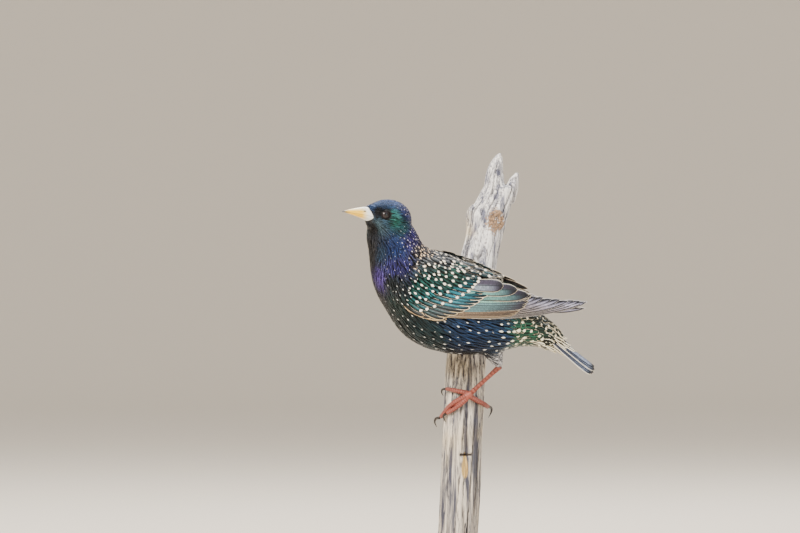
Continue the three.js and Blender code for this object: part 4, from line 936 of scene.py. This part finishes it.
# Bill
# A straight, slender cone of horn in two halves, the upper a little longer, with a slit nostril in a
# groove on each side. It is pale yellow, whiter at the base and dusky at the tip.
BILL = smooth_rows([
    (12.4, 6.0, -0.4, -3.4, 5.8), (15, 6.6, 0.1, -3.1, 4.9), (18.5, 6.8, 0.9, -1.9, 3.9),
    (24, 6.2, 1.8, 0.0, 2.7), (30, 5.2, 2.6, 1.7, 1.75), (34.5, 4.4, 3.15, 2.7, 1.1), (37, 3.85, 3.5, 3.3, 0.45),
], 44)


ARC_POINTS = 19
GROOVE_AHEAD = 20.4


def bill_half(name, upper):
    rings = []
    for ahead_mm, culmen, mouth, lower, half in BILL:
        edge = mouth + (0.1 if upper else -0.1)
        reach = (culmen if upper else lower) - edge
        angles = np.linspace(0, math.pi, ARC_POINTS)
        wide = half * np.cos(angles) * (1 - 0.12 * np.sin(angles))
        rise = edge + reach * np.sin(angles) ** 0.85
        if upper:
            # The groove that the nostril lies in
            groove = math.exp(-(((ahead_mm - GROOVE_AHEAD) / 2.4) ** 2)) * sum(
                np.exp(-(((turned - 0.62) / 0.2) ** 2)) for turned in (angles, math.pi - angles))
            wide = wide * (1 - 0.22 * groove)
        rings.append(np.stack([np.full(ARC_POINTS, ahead_mm), wide, rise], 1))
    rings = np.concatenate(rings)
    piece = mesh_object(name, placed(rings, HEAD), ring_faces(len(BILL), ARC_POINTS))
    shape = bmesh.new()
    shape.from_mesh(piece.data)
    bmesh.ops.triangulate(shape, faces=shape.faces)
    shape.to_mesh(piece.data)
    shape.free()
    smooth_shade(piece.data, 50)
    set_values(piece.data, "bill", placed(points_of(piece.data), HEAD.inverted()))
    return piece


# Horn: smooth and slightly waxy, so soft broad highlights, with faint growth streaks along it.
horn, tree = new_material("bill horn")
bill_place = add_node(tree, "ShaderNodeAttribute", attribute_name="bill").outputs["Vector"]
parts_of = add_node(tree, "ShaderNodeSeparateXYZ", {0: bill_place}).outputs
streaks = add_node(tree, "ShaderNodeMapping", {0: bill_place, "Scale": (0.25, 1.6, 1.6)})
grain = add_node(tree, "ShaderNodeTexNoise", {
    "Vector": streaks.outputs[0], "Scale": 1.5, "Detail": 4}).outputs[0]
along = add_node(tree, "ShaderNodeMath", {
    0: grain, 1: 3.0, 2: parts_of[0]}, operation="MULTIPLY_ADD").outputs[0]
yellow = add_node(tree, "ShaderNodeMapRange", {"Value": along, "From Min": 19.5, "From Max": 24}).outputs[0]
dusk = add_node(tree, "ShaderNodeMapRange", {"Value": along, "From Min": 33.0, "From Max": 37.5}).outputs[0]
low_side = add_node(tree, "ShaderNodeMapRange", {
    "Value": parts_of[2], "From Min": 6.0, "From Max": 3.6}).outputs[0]
warm = add_node(tree, "ShaderNodeMath", {0: yellow, 1: low_side}, operation="MULTIPLY").outputs[0]
base = add_node(tree, "ShaderNodeMix", {
    0: yellow, 6: "#dfe3df", 7: "#f3eecb"}, data_type="RGBA").outputs[2]
base = add_node(tree, "ShaderNodeMix", {0: warm, 6: base, 7: "#f2c01c"}, data_type="RGBA").outputs[2]
base = add_node(tree, "ShaderNodeMix", {0: dusk, 6: base, 7: "#3a3f4a"}, data_type="RGBA").outputs[2]
lift = add_node(tree, "ShaderNodeBump", {"Height": grain, "Strength": 0.25, "Distance": 0.0002})
finish(tree, {"Base Color": base, "Roughness": 0.32, "Normal": lift.outputs[0], "Coat Weight": 0.15})
for name, upper in (("bill_upper", True), ("bill_lower", False)):
    dress(bill_half(f"{name}_horn", upper), horn, "bill_horn", name)

# Nostrils
# A narrow slit in each groove, closed above by a small flap of horn.
nostril_finish, tree = new_material("nostril shadow")
finish(tree, {"Base Color": "#1c1a1c", "Roughness": 0.7})
for side in (-1, 1):
    slit = bmesh.new()
    place = HEAD @ Matrix.Translation((GROOVE_AHEAD, side * 3.05, 3.9)) @ (
        Matrix.Rotation(side * math.radians(14), 4, "Z"))
    bmesh.ops.create_uvsphere(slit, u_segments=16, v_segments=10, radius=1, matrix=(
        Matrix.Scale(MM, 4) @ place @ Matrix.Diagonal((1.3, 0.3, 0.36, 1))))
    dress(piece_of(f"nostril_{'left' if side > 0 else 'right'}", slit), nostril_finish, "bill_horn")

# Eyes
# A wet, dark brown iris round a black pupil, in a ring of small bare lid scales.
eye_finish, tree = new_material("wet eye")
look = add_node(tree, "ShaderNodeAttribute", attribute_name="from_axis").outputs["Fac"]
iris = add_node(tree, "ShaderNodeMapRange", {"Value": look, "From Min": 1.45, "From Max": 1.6}).outputs[0]
white = add_node(tree, "ShaderNodeMapRange", {"Value": look, "From Min": 2.5, "From Max": 2.9}).outputs[0]
base = add_node(tree, "ShaderNodeMix", {
    0: iris, 6: (0.002, 0.002, 0.003, 1), 7: "#1e1216"}, data_type="RGBA").outputs[2]
base = add_node(tree, "ShaderNodeMix", {0: white, 6: base, 7: "#140d0c"}, data_type="RGBA").outputs[2]
finish(tree, {
    "Base Color": base, "Roughness": 0.3, "Specular IOR Level": 0.2, "Coat Weight": 0.5, "Coat Roughness": 0.02,
})
lid_finish, tree = new_material("lid skin")
place = add_node(tree, "ShaderNodeTexCoord").outputs["Object"]
beads = add_node(tree, "ShaderNodeTexVoronoi", {"Vector": place, "Scale": 2200}).outputs[0]
lift = add_node(tree, "ShaderNodeBump", {"Height": beads, "Strength": 0.6, "Distance": 0.00015})
finish(tree, {
    "Base Color": "#050506", "Specular IOR Level": 0.2, "Roughness": 0.6, "Normal": lift.outputs[0],
})
EYE_RADIUS, LID_TURNS, LID_SIDES = 3.2, 48, 14
for side in (-1, 1):
    word = "left" if side > 0 else "right"
    facing = HEAD @ Matrix.Translation(Vector(EYE_PLACE * (1, side, 1))) @ (
        Matrix.Rotation(side * math.radians(-14), 4, "Z") @ Matrix.Rotation(-side * math.radians(90), 4, "X"))
    for name, kind in ((f"eyeball_{word}", "ball"), (f"lid_{word}", "lid")):
        shape = bmesh.new()
        if kind == "ball":
            bmesh.ops.create_uvsphere(shape, u_segments=48, v_segments=32, radius=EYE_RADIUS)
        else:
            rings = []
            for a in np.linspace(0, 2 * math.pi, LID_TURNS, endpoint=False):
                # The ring is drawn out to a point at the eye's front and back corners.
                out = 2.75 + 0.45 * abs(math.cos(a)) ** 5
                section = [(out + 0.6 * math.cos(b), 1.85 + 0.5 * math.sin(b) - 0.22 * abs(math.cos(a)) ** 5)
                           for b in np.linspace(0, 2 * math.pi, LID_SIDES, endpoint=False)]
                rings.append([(r * math.cos(a), r * 0.94 * math.sin(a), h) for r, h in section])
            made = [[shape.verts.new(p) for p in ring] for ring in rings]
            for ring, following in zip(made, made[1:] + made[:1]):
                for s in range(LID_SIDES):
                    t = (s + 1) % LID_SIDES
                    shape.faces.new((ring[s], following[s], following[t], ring[t]))
            bmesh.ops.recalc_face_normals(shape, faces=shape.faces)
        from_axis = [math.hypot(v.co.x, v.co.y) if v.co.z > 0 else EYE_RADIUS for v in shape.verts]
        shape.transform(Matrix.Scale(MM, 4) @ facing)
        piece = piece_of(name, shape)
        smooth_shade(piece.data)
        if kind == "ball":
            set_values(piece.data, "from_axis", from_axis)
            dress(piece, eye_finish, "eye", f"eye_{word}")
        else:
            dress(piece, lid_finish, "eye")

# Branch
# A dead, barkless branch, weathered silver grey, split into two splinters at its top, with a broken
# side branch, a brown knot and a scar of bare yellow wood. The grain runs up it in cracks and fibres.
PERCH = smooth_rows([
    (30, 0, 0, 13.8), (61, 1.7, 0.2, 13.8), (92, 3, 0.8, 13.7), (122, 4.3, 2.2, 13.9), (152, 5.6, 6, 13.8),
    (185, 9.2, 12, 13.4), (220, 14.2, 19, 12.9), (237, 18.3, 22.6, 12.9), (252, 21.6, 26, 13.9),
    (262, 26, 28.2, 12.7), (272, 30, 30.4, 11.4),
])


def perch_point(angle, z, off):
    x, y, radius = (np.interp(z, PERCH[:, 0], PERCH[:, k]) for k in (1, 2, 3))
    ridges = 0.035 * np.sin(3 * angle + z * 0.021) + 0.022 * np.sin(5 * angle - z * 0.034 + 1)
    reach = radius * (1 + ridges) + off
    return np.stack(np.broadcast_arrays(x + reach * np.sin(angle), y - reach * np.cos(angle), z), -1)


def splinter(rows):
    rows = smooth_rows(rows, 40)
    ahead = np.tile((1.0, 0.0, 0.0), (40, 1))
    return ellipse_rings(rows[:, :3], ahead, np.tile(LEFT, (40, 1)), rows[:, 3], rows[:, 4], 32).reshape(-1, 3)


def boss(centre, sizes, tilt):
    ball = bmesh.new()
    turn = Matrix.Translation(centre) @ Matrix.Rotation(tilt, 4, "Y") @ Matrix.Diagonal((*sizes, 1))
    bmesh.ops.create_icosphere(ball, subdivisions=4, radius=1, matrix=turn)
    points = np.array([v.co[:] for v in ball.verts])
    faces = [tuple(v.index for v in f.verts) for f in ball.faces]
    ball.free()
    return points, faces


PERCH_SIDES = 72
angles = np.linspace(0, 2 * math.pi, PERCH_SIDES, endpoint=False)
trunk = [perch_point(angles, np.full(PERCH_SIDES, z), 0) for z in np.linspace(30, 270, 200)]
trunk += [perch_point(angles, np.full(PERCH_SIDES, z), off) for z, off in ((271.4, -1.4), (272.0, -4))]
tall = splinter([(26.4, 29, 262, 10, 11.4), (25.6, 30.4, 272, 7.4, 10.4), (26, 31.5, 282, 5.8, 7.4),
                 (27.4, 32.5, 289, 4.2, 5), (29.4, 33.2, 294.7, 1.2, 1.6)])
short = splinter([(33, 29, 260, 6.4, 10.4), (37, 31, 269, 5, 9.4), (39.3, 32.4, 276, 3.2, 6),
                  (41.6, 33, 281.2, 0.8, 1.4)])
perch = grown_together("weathered_branch", [
    (np.concatenate(trunk), ring_faces(len(trunk), PERCH_SIDES)), (tall, ring_faces(40, 32)),
    (short, ring_faces(40, 32)), boss((11.6, 22.4, 251.4), (5.6, 6, 8.2), 0.35),
    boss((26.2, 13.6, 248), (6.8, 3.2, 7.6), 0.2),
], 0.8, 5)
points, normals = points_of(perch.data), normals_of(perch.data)


def layered_noise(x, y, seed):
    """Smooth random values over a plane, from a few octaves of crossed waves."""
    waves = np.random.default_rng(seed)
    total = np.zeros_like(x)
    for octave in range(5):
        for _ in range(5):
            turn = waves.uniform(0, 2 * math.pi)
            rate = 2**octave * waves.uniform(0.7, 1.4)
            along = x * math.cos(turn) + y * math.sin(turn)
            total += np.sin(rate * along + waves.uniform(0, 6.28)) / 2**octave
    return total / 5


axis_x, axis_y = (np.interp(points[:, 2], PERCH[:, 0], PERCH[:, k]) for k in (1, 2))
around = np.arctan2(points[:, 0] - axis_x, -(points[:, 1] - axis_y))
wrap = np.stack([np.sin(around), np.cos(around)], 1) * 13
fibre = layered_noise(wrap[:, 0] * 0.9, points[:, 2] * 0.045 + wrap[:, 1] * 0.9, 3)
crack = layered_noise(wrap[:, 0] * 0.55 + 9, points[:, 2] * 0.03 + wrap[:, 1] * 0.55, 5)
split = np.exp(-((crack / 0.09) ** 2))
knot = np.linalg.norm((points - (27.0, 8.6, 247.8)) / (5.8, 6, 7.4), axis=1)
hollow = np.clip(1.15 - knot, 0, 1) * 2.6
scar = np.hypot((points[:, 0] - 4.6) / (1.2 + (88 - points[:, 2]) * 0.13), (points[:, 2] - 80) / 9.5)
scar = np.where(points[:, 1] < axis_y, np.clip(1.1 - scar, 0, 1), 0)
slit = np.exp(-(((points[:, 2] - 87.0) / 0.9) ** 2)) * (
    np.abs(points[:, 0] - 5) < 4.4) * (points[:, 1] < axis_y)
points -= normals * (0.42 * fibre + 0.9 * split + hollow + 0.9 * np.minimum(scar * 3, 1) + 1.6 * slit)[:, None]
points[:, 2] = np.maximum(points[:, 2], 30.0)
perch.data.vertices.foreach_set("co", (points * MM).ravel())
perch.data.update()
smooth_shade(perch.data)
set_values(perch.data, "grain", np.stack([around * 13, points[:, 2], np.clip(1.9 - knot, 0, 1)], 1))
set_values(perch.data, "marks", np.stack([np.clip(split * 1.2, 0, 1), np.minimum(scar * 3, 1), slit], 1))
# Weathered wood: dry, matt and silver grey on the raised fibres, darker and bluer in the cracks between.
wood, tree = new_material("weathered wood")
place = add_node(tree, "ShaderNodeTexCoord").outputs["Object"]
long_grain = add_node(tree, "ShaderNodeMapping", {0: place, "Scale": (1, 1, 0.045)}).outputs[0]
fibres = add_node(tree, "ShaderNodeTexNoise", {
    "Vector": long_grain, "Scale": 1100, "Detail": 4, "Roughness": 0.7, "Distortion": 0.3}).outputs[0]
broad = add_node(tree, "ShaderNodeTexNoise", {
    "Vector": long_grain, "Scale": 260, "Detail": 5, "Roughness": 0.7, "Distortion": 0.4}).outputs[0]
zones = add_node(tree, "ShaderNodeTexNoise", {"Vector": place, "Scale": 24, "Detail": 3}).outputs[0]
rough = add_node(tree, "ShaderNodeTexNoise", {"Vector": place, "Scale": 700, "Detail": 4}).outputs[0]
marks, grain = [add_node(tree, "ShaderNodeSeparateXYZ", {0: add_node(
    tree, "ShaderNodeAttribute", attribute_name=n).outputs["Vector"]}).outputs for n in ("marks", "grain")]


def tone_between(value, low_value, high_value, low_colour, high_colour):
    """A blend from one colour to another as a value goes from low to high."""
    share = add_node(tree, "ShaderNodeMapRange", {
        "Value": value, "From Min": low_value, "From Max": high_value}).outputs[0]
    return add_node(tree, "ShaderNodeMix", {0: share, 6: low_colour, 7: high_colour}, data_type="RGBA").outputs[2]


bleached = tone_between(broad, 0.40, 0.56, "#6f7182", "#fbf9f6")
cream = tone_between(broad, 0.42, 0.56, "#8a8078", "#f4e6c8")
base = tone_between(zones, 0.52, 0.62, bleached, cream)
# Below the bird the wood is painted darker, streaked brown and slate: a painted shadow of the bird on the lower
# branch.
painted_shadow_tone = tone_between(broad, 0.43, 0.57, "#2e2f38", "#cdbfa8")
# Painted shadow: its share grows from none at 182 mm to 0.7 at 150 mm and stays at 0.7 below that.
below = add_node(tree, "ShaderNodeMapRange", {
    "Value": grain[1], "From Min": 182, "From Max": 150, "To Max": 0.7}).outputs[0]
base = add_node(tree, "ShaderNodeMix", {0: below, 6: base, 7: painted_shadow_tone}, data_type="RGBA").outputs[2]
base = tone_between(fibres, 0.44, 0.36, base, "#45434c")
base = tone_between(marks[0], 0.15, 1.2, base, "#26252e")
knot_wood = tone_between(rough, 0.38, 0.64, "#4a3729", "#b39476")
patchy = add_node(tree, "ShaderNodeMath", {0: rough, 1: 2.2, 2: grain[2]}, operation="MULTIPLY_ADD").outputs[0]
base = tone_between(patchy, 1.55, 1.95, base, knot_wood)
scar_wood = tone_between(fibres, 0.4, 0.6, "#8f7040", "#d9bc7c")
base = tone_between(marks[1], 0.2, 0.8, base, scar_wood)
base = tone_between(marks[2], 0.2, 0.8, base, "#2a2220")
height = add_node(tree, "ShaderNodeMath", {0: broad, 1: 0.7, 2: fibres}, operation="MULTIPLY_ADD").outputs[0]
lift = add_node(tree, "ShaderNodeBump", {"Height": height, "Strength": 0.9, "Distance": 0.0012})
finish(tree, {"Base Color": base, "Roughness": 0.85, "Normal": lift.outputs[0], "Specular IOR Level": 0.25})
dress(perch, wood, "weathered_wood", "perch")

# Legs and feet
# Bare shanks and toes of pinkish scaled skin, three toes forward and one back, with black horn claws.
# Each toe grips the branch, so toe and claw are paths round it: angle in degrees, height and distance off it.
FEET = {
    "left": {
        "middle": ([(6, 127.6, 2.7), (-14, 124.6, 2.3), (-37, 120.4, 2.2), (-57, 116, 2.3), (-74, 112.8, 2.8)],
                   [(-80, 112, 3.2), (-88, 111.2, 5.4), (-91, 108.6, 5.8), (-92, 105.4, 4.2)]),
        "inner": ([(8, 129.2, 2.6), (-12, 130.4, 2.1), (-32, 131.4, 2), (-51, 132, 2)],
                  [(-55, 132, 2.2), (-65, 131.4, 3.4), (-73, 129.4, 2.9), (-78, 127, 1.2)]),
        "outer": ([(6, 125.8, 2.5), (-10, 121.4, 2.1), (-27, 118, 2), (-46, 115.6, 2)],
                  [(-51, 115, 2.3), (-57, 113.6, 3.2), (-57, 111.4, 2.8), (-55, 109, 1.2)]),
        "hind": ([(10, 127.6, 2.6), (32, 124.4, 2.3), (56, 121.8, 2.2), (80, 119.6, 2.6)],
                 [(87, 119.6, 3), (98, 118.4, 5), (100, 115.4, 5), (92, 112, 3.2)]),
    },
    "right": {
        "middle": ([(16, 168, 2.7), (-6, 167.4, 2.3), (-30, 166.2, 2.2), (-54, 165, 2.3), (-76, 164.6, 2.6)],
                   [(-83, 164.8, 3), (-95, 165.2, 4.6), (-103, 163.6, 4.2), (-108, 161.6, 2.2)]),
        "inner": ([(16, 166.2, 2.5), (-4, 163.6, 2.1), (-24, 161.8, 2), (-42, 161.2, 2)],
                  [(-48, 161.4, 2.2), (-58, 162, 3.4), (-66, 161.2, 3), (-70, 159.4, 1.3)]),
        "outer": ([(15, 169.8, 2.5), (-6, 172.4, 2.1), (-28, 174, 2), (-48, 174.6, 2)],
                  [(-54, 174.8, 2.2), (-66, 175, 3.4), (-75, 173.4, 3), (-80, 171, 1.3)]),
        "hind": ([(20, 168, 2.6), (42, 167, 2.3), (66, 166.4, 2.2), (90, 166.2, 2.4)],
                 [(97, 166.2, 2.8), (110, 165.8, 4.4), (119, 163.6, 4), (122, 161, 2)]),
    },
}
OUTSIDE_RADII = (1.7, 1.5, 1.4, 1.15)
TOE_RADII = {
    "middle": (1.9, 1.7, 1.6, 1.5, 1.3), "inner": OUTSIDE_RADII, "outer": OUTSIDE_RADII,
    "hind": (1.9, 1.7, 1.6, 1.4),
}
ANKLES = {"left": LEFT_ANKLE, "right": np.array((27.0, -20.0, 169.0))}


def around_perch(rows):
    rows = np.array(rows, float)
    return perch_point(np.radians(rows[:, 0]), rows[:, 1], rows[:, 2])


def tube_shape(path, radii, count, sides):
    """Points and faces of a round tube along a smooth path, with its middle line and radii."""
    rows = smooth_rows(np.column_stack([path, radii]), count)
    line = rows[:, :3]
    run = np.gradient(line, axis=0)
    run /= np.linalg.norm(run, axis=1, keepdims=True)
    flat = np.cross(run, (0.1, 0.2, 1.0))
    flat /= np.linalg.norm(flat, axis=1, keepdims=True)
    rings = ellipse_rings(line, np.cross(flat, run), flat, rows[:, 3], rows[:, 3], sides)
    return rings.reshape(-1, 3), ring_faces(count, sides), rows


# Leg skin: thin, slightly waxy scales, mottled brownish pink, each with a darker hem.
leg_finish, tree = new_material("leg skin")
place = add_node(tree, "ShaderNodeTexCoord").outputs["Object"]
mottle = add_node(tree, "ShaderNodeTexNoise", {"Vector": place, "Scale": 260, "Detail": 4}).outputs[0]
base = add_node(tree, "ShaderNodeMix", {
    0: mottle, 6: "#6e2a22", 7: "#ab5c4c"}, data_type="RGBA").outputs[2]
hem = add_node(tree, "ShaderNodeAttribute", attribute_name="hem").outputs["Fac"]
base = add_node(tree, "ShaderNodeMix", {0: hem, 6: base, 7: "#431c17"}, data_type="RGBA").outputs[2]
beads = add_node(tree, "ShaderNodeTexVoronoi", {"Vector": place, "Scale": 1300}).outputs[0]
lift = add_node(tree, "ShaderNodeBump", {"Height": beads, "Strength": 0.45, "Distance": 0.0002})
finish(tree, {"Base Color": base, "Roughness": 0.45, "Normal": lift.outputs[0], "Subsurface Weight": 0.08})
# Claw horn: black, smooth and polished by use.
claw_finish, tree = new_material("claw horn")
place = add_node(tree, "ShaderNodeTexCoord").outputs["Object"]
mottle = add_node(tree, "ShaderNodeTexNoise", {"Vector": place, "Scale": 500, "Detail": 3}).outputs[0]
base = add_node(tree, "ShaderNodeMix", {
    0: mottle, 6: "#0c0a0a", 7: "#3a322e"}, data_type="RGBA").outputs[2]
finish(tree, {"Base Color": base, "Roughness": 0.28})


def scute_tree():
    """Overlapping ring scales at even steps along edges, each as wide as the path's reach there."""
    tree = bpy.data.node_groups.new("scutes along a path", "GeometryNodeTree")
    for name, kind in (("Path", "Geometry"), ("Spacing", "Float"), ("Scute", "Object"), ("Finish", "Material")):
        tree.interface.new_socket(name, in_out="INPUT", socket_type=f"NodeSocket{kind}")
    tree.interface.new_socket("Scutes", in_out="OUTPUT", socket_type="NodeSocketGeometry")
    given = add_node(tree, "NodeGroupInput").outputs
    line = add_node(tree, "GeometryNodeMeshToCurve", {"Mesh": given["Path"]}).outputs[0]
    reach = add_node(tree, "GeometryNodeInputNamedAttribute", {"Name": "reach"}).outputs[0]
    line = add_node(tree, "GeometryNodeSetCurveRadius", {"Curve": line, "Radius": reach}).outputs[0]
    points = add_node(
        tree, "GeometryNodeCurveToPoints", {"Curve": line, "Length": given["Spacing"]}, mode="LENGTH")
    shape = add_node(tree, "GeometryNodeObjectInfo", {"Object": given["Scute"]})
    radius = add_node(tree, "GeometryNodeInputRadius").outputs[0]
    size = add_node(tree, "ShaderNodeCombineXYZ", {0: radius, 1: radius, 2: given["Spacing"]}).outputs[0]
    rings = add_node(tree, "GeometryNodeInstanceOnPoints", {
        "Points": points.outputs["Points"], "Instance": shape.outputs["Geometry"],
        "Rotation": points.outputs["Rotation"], "Scale": size})
    real = add_node(tree, "GeometryNodeRealizeInstances", {0: rings.outputs[0]})
    done = add_node(tree, "GeometryNodeSetMaterial", {"Geometry": real.outputs[0], "Material": given["Finish"]})
    add_node(tree, "NodeGroupOutput", {"Scutes": done.outputs[0]})
    return tree


# One scute is a ring of skin round a toe of unit radius and unit spacing, thicker and darker at its edge.
RING_TURNS = 20
SECTION = ((0.9, -0.5), (1.01, -0.5), (1.06, -0.05), (1.07, 0.42), (0.9, 0.52))
band = [
    (out * math.cos(a), out * math.sin(a), rise)
    for a in np.linspace(0, 2 * math.pi, RING_TURNS, endpoint=False) for out, rise in SECTION
]
corners = [(r * 5, (r + 1) % RING_TURNS * 5, i, (i + 1) % 5) for r in range(RING_TURNS) for i in range(5)]
band_faces = [(ring + i, ring + j, following + j, following + i) for ring, following, i, j in corners]
scute = mesh_object("scute", np.array(band) / MM, band_faces)
set_values(scute.data, "hem", [1.0, 0.75, 0.0, 0.15, 1.0] * RING_TURNS)
smooth_shade(scute.data)
scutes = scute_tree()


def scuted(name, paths, spacing_mm):
    """The scutes on several paths, each an array of points in millimetres with a radius."""
    mesh = bpy.data.meshes.new(name)
    points = np.concatenate(paths)
    edges, start = [], 0
    for path in paths:
        edges += [(start + i, start + i + 1) for i in range(len(path) - 1)]
        start += len(path)
    mesh.from_pydata((points[:, :3] * MM).tolist(), edges, [])
    set_values(mesh, "reach", points[:, 3] * MM)
    piece = in_scene(name, mesh)
    build = piece.modifiers.new("scutes", "NODES")
    build.node_group = scutes
    sockets = {s.name: s.identifier for s in scutes.interface.items_tree if s.in_out == "INPUT"}
    build[sockets["Spacing"]] = spacing_mm * MM
    build[sockets["Scute"]] = scute
    build[sockets["Finish"]] = leg_finish
    return settled(piece)


for side, toes in FEET.items():
    shapes, paths = [], []
    hind = toes["hind"][0][0]
    heel = around_perch([(hind[0], hind[1] + 0.4, 3)])[0]
    shapes.append(boss(tuple(heel), (2.6, 2.6, 2.6), 0))
    for toe, (path, claw) in toes.items():
        *shape, rows = tube_shape(around_perch(path), TOE_RADII[toe], 40, 20)
        shapes.append(shape)
        paths.append(rows[4:-2])
        claw_root = TOE_RADII[toe][-1] * 0.82
        claw_points, claw_faces, _ = tube_shape(
            around_perch(claw), (claw_root, claw_root * 0.8, claw_root * 0.5, 0.12), 28, 14)
        horn_claw = mesh_object(f"claw_horn_{side}_{toe}", claw_points, claw_faces)
        smooth_shade(horn_claw.data)
        dress(horn_claw, claw_finish, "claw_horn", f"claw_{side}_{toe}")
    shank_line = np.array([heel + (ANKLES[side] - heel) * u for u in (0, 0.15, 0.4, 0.75, 1.0)])
    *shape, rows = tube_shape(shank_line, (1.9, 1.6, 1.4, 1.5, 2.0), 40, 20)
    shapes.append(shape)
    foot = grown_together(f"foot_skin_{side}", shapes, 0.34, 3)
    smooth_shade(foot.data)
    dress(foot, leg_finish, "leg_skin", f"foot_{side}", f"shank_{side}")
    for name, rows_of_scutes, spacing_mm in (("toe", paths, 1.5), ("shank", [rows[5:-2]], 2.7)):
        scales = scuted(f"{name}_scutes_{side}", rows_of_scutes, spacing_mm)
        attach(scales, "root")
bpy.data.objects.remove(scute)

# Stand
# A turned disc of dark lacquered wood with a rounded edge, and a short steel rod up into the branch.
profile = [
    (0, 0), (68.5, 0), (69.6, 0.4), (70, 1.4), (70, 11.2), (69.7, 12.5), (68.8, 13.5), (67.5, 14), (0, 14),
]
shape = bmesh.new()
line = [shape.verts.new((r * MM, 0, z * MM)) for r, z in profile]
rim = [shape.edges.new(pair) for pair in zip(line, line[1:])]
bmesh.ops.spin(shape, geom=line + rim, axis=(0, 0, 1), cent=(0, 0, 0), steps=128, angle=2 * math.pi)
bmesh.ops.remove_doubles(shape, verts=shape.verts, dist=1e-6)
bmesh.ops.recalc_face_normals(shape, faces=shape.faces)
base_disc = piece_of("turned_base", shape)
smooth_shade(base_disc.data, 35)
# Walnut: straight, fine dark grain 2 to 3 mm apart under a satin lacquer.
walnut, tree = new_material("lacquered walnut")
place = add_node(tree, "ShaderNodeTexCoord").outputs["Object"]
stretched = add_node(tree, "ShaderNodeMapping", {0: place, "Scale": (0.05, 1, 1)}).outputs[0]
rings_of = add_node(tree, "ShaderNodeTexNoise", {
    "Vector": stretched, "Scale": 420, "Detail": 5, "Distortion": 0.4}).outputs[0]
pores = add_node(tree, "ShaderNodeTexNoise", {"Vector": stretched, "Scale": 1400, "Detail": 2}).outputs[0]
tone = add_node(tree, "ShaderNodeMapRange", {"Value": rings_of, "From Min": 0.38, "From Max": 0.64}).outputs[0]
base = add_node(tree, "ShaderNodeMix", {
    0: tone, 6: "#2a1a12", 7: "#6a4630"}, data_type="RGBA").outputs[2]
lift = add_node(tree, "ShaderNodeBump", {"Height": pores, "Strength": 0.15, "Distance": 0.0002})
finish(tree, {"Base Color": base, "Roughness": 0.34, "Normal": lift.outputs[0], "Coat Weight": 0.4,
              "Coat Roughness": 0.2})
dress(base_disc, walnut, "stand_wood", "stand_base")
# Brushed steel: fine lines round the rod, which spread its highlight.
steel, tree = new_material("brushed steel")
place = add_node(tree, "ShaderNodeTexCoord").outputs["Object"]
stretched = add_node(tree, "ShaderNodeMapping", {0: place, "Scale": (1, 1, 60)}).outputs[0]
lines = add_node(tree, "ShaderNodeTexNoise", {"Vector": stretched, "Scale": 120, "Detail": 2}).outputs[0]
lift = add_node(tree, "ShaderNodeBump", {"Height": lines, "Strength": 0.2, "Distance": 0.0001})
finish(tree, {"Base Color": "#b9b9b6", "Metallic": 1.0, "Roughness": 0.32, "Normal": lift.outputs[0]})
rod_points, rod_faces, _ = tube_shape([(0, 0, 14.3), (0.0, 0, 22), (0, 0, 29.7)], (4.5, 4.5, 4.5), 4, 48)
rod = mesh_object("steel_rod", rod_points, rod_faces)
smooth_shade(rod.data, 40)
dress(rod, steel, "stand_steel", "stand_rod")

# Studio
# A round sweep of pale matt paper is floor and background in one on every side. A large soft light stands
# at the front left, a weaker one at the right, and one above and behind picks out the edges.
sweep = bmesh.new()
section = [(r, 0.0) for r in (0.05, 0.5, 1, 2, 3, 4)]
section += [(4 + 2 * math.sin(a), 2 - 2 * math.cos(a)) for a in np.linspace(0.08, math.pi / 2, 20)] + [(6, 5)]
columns = []
for turn in np.linspace(0, 2 * math.pi, 96, endpoint=False):
    columns.append([sweep.verts.new((r * math.cos(turn), r * math.sin(turn), z)) for r, z in section])
for a, b in zip(columns, columns[1:] + columns[:1]):
    for i in range(len(section) - 1):
        sweep.faces.new((a[i], a[i + 1], b[i + 1], b[i]))
sweep.faces.new([column[0] for column in columns])
bmesh.ops.recalc_face_normals(sweep, faces=sweep.faces)
floor = piece_of("paper_sweep", sweep)
smooth_shade(floor.data)
paper, tree = new_material("matt paper")
finish(tree, {"Base Color": "#e2d8c8", "Roughness": 0.95, "Specular IOR Level": 0.1})
floor.data.materials.append(paper)


def softbox(name, place, aim, size, power, tint):
    data = bpy.data.lights.new(name, "AREA")
    data.shape = "RECTANGLE"
    data.size, data.size_y = size
    data.energy = power
    data.color = hex_colour(tint)
    lamp = in_scene(name, data)
    lamp.location = place
    lamp.rotation_euler = (Vector(aim) - Vector(place)).to_track_quat("-Z", "Y").to_euler()


AIM = (0, -0.03, 0.2)
softbox("key", (-0.9, -1.5, 1.3), AIM, (0.7, 0.7), 95, "#fff6ea")
softbox("fill", (1.3, -1.4, 0.6), AIM, (1.0, 1.0), 12, "#eef4ff")
softbox("rim", (0.3, 0.9, 1.5), AIM, (0.9, 0.5), 34, "#ffffff")
world = bpy.data.worlds.new("studio")
bpy.context.scene.world = world
world.use_nodes = True
sky = world.node_tree.nodes["Background"].inputs
sky["Color"].default_value = (*hex_colour("#e8ebf0"), 1)
sky["Strength"].default_value = 1.25
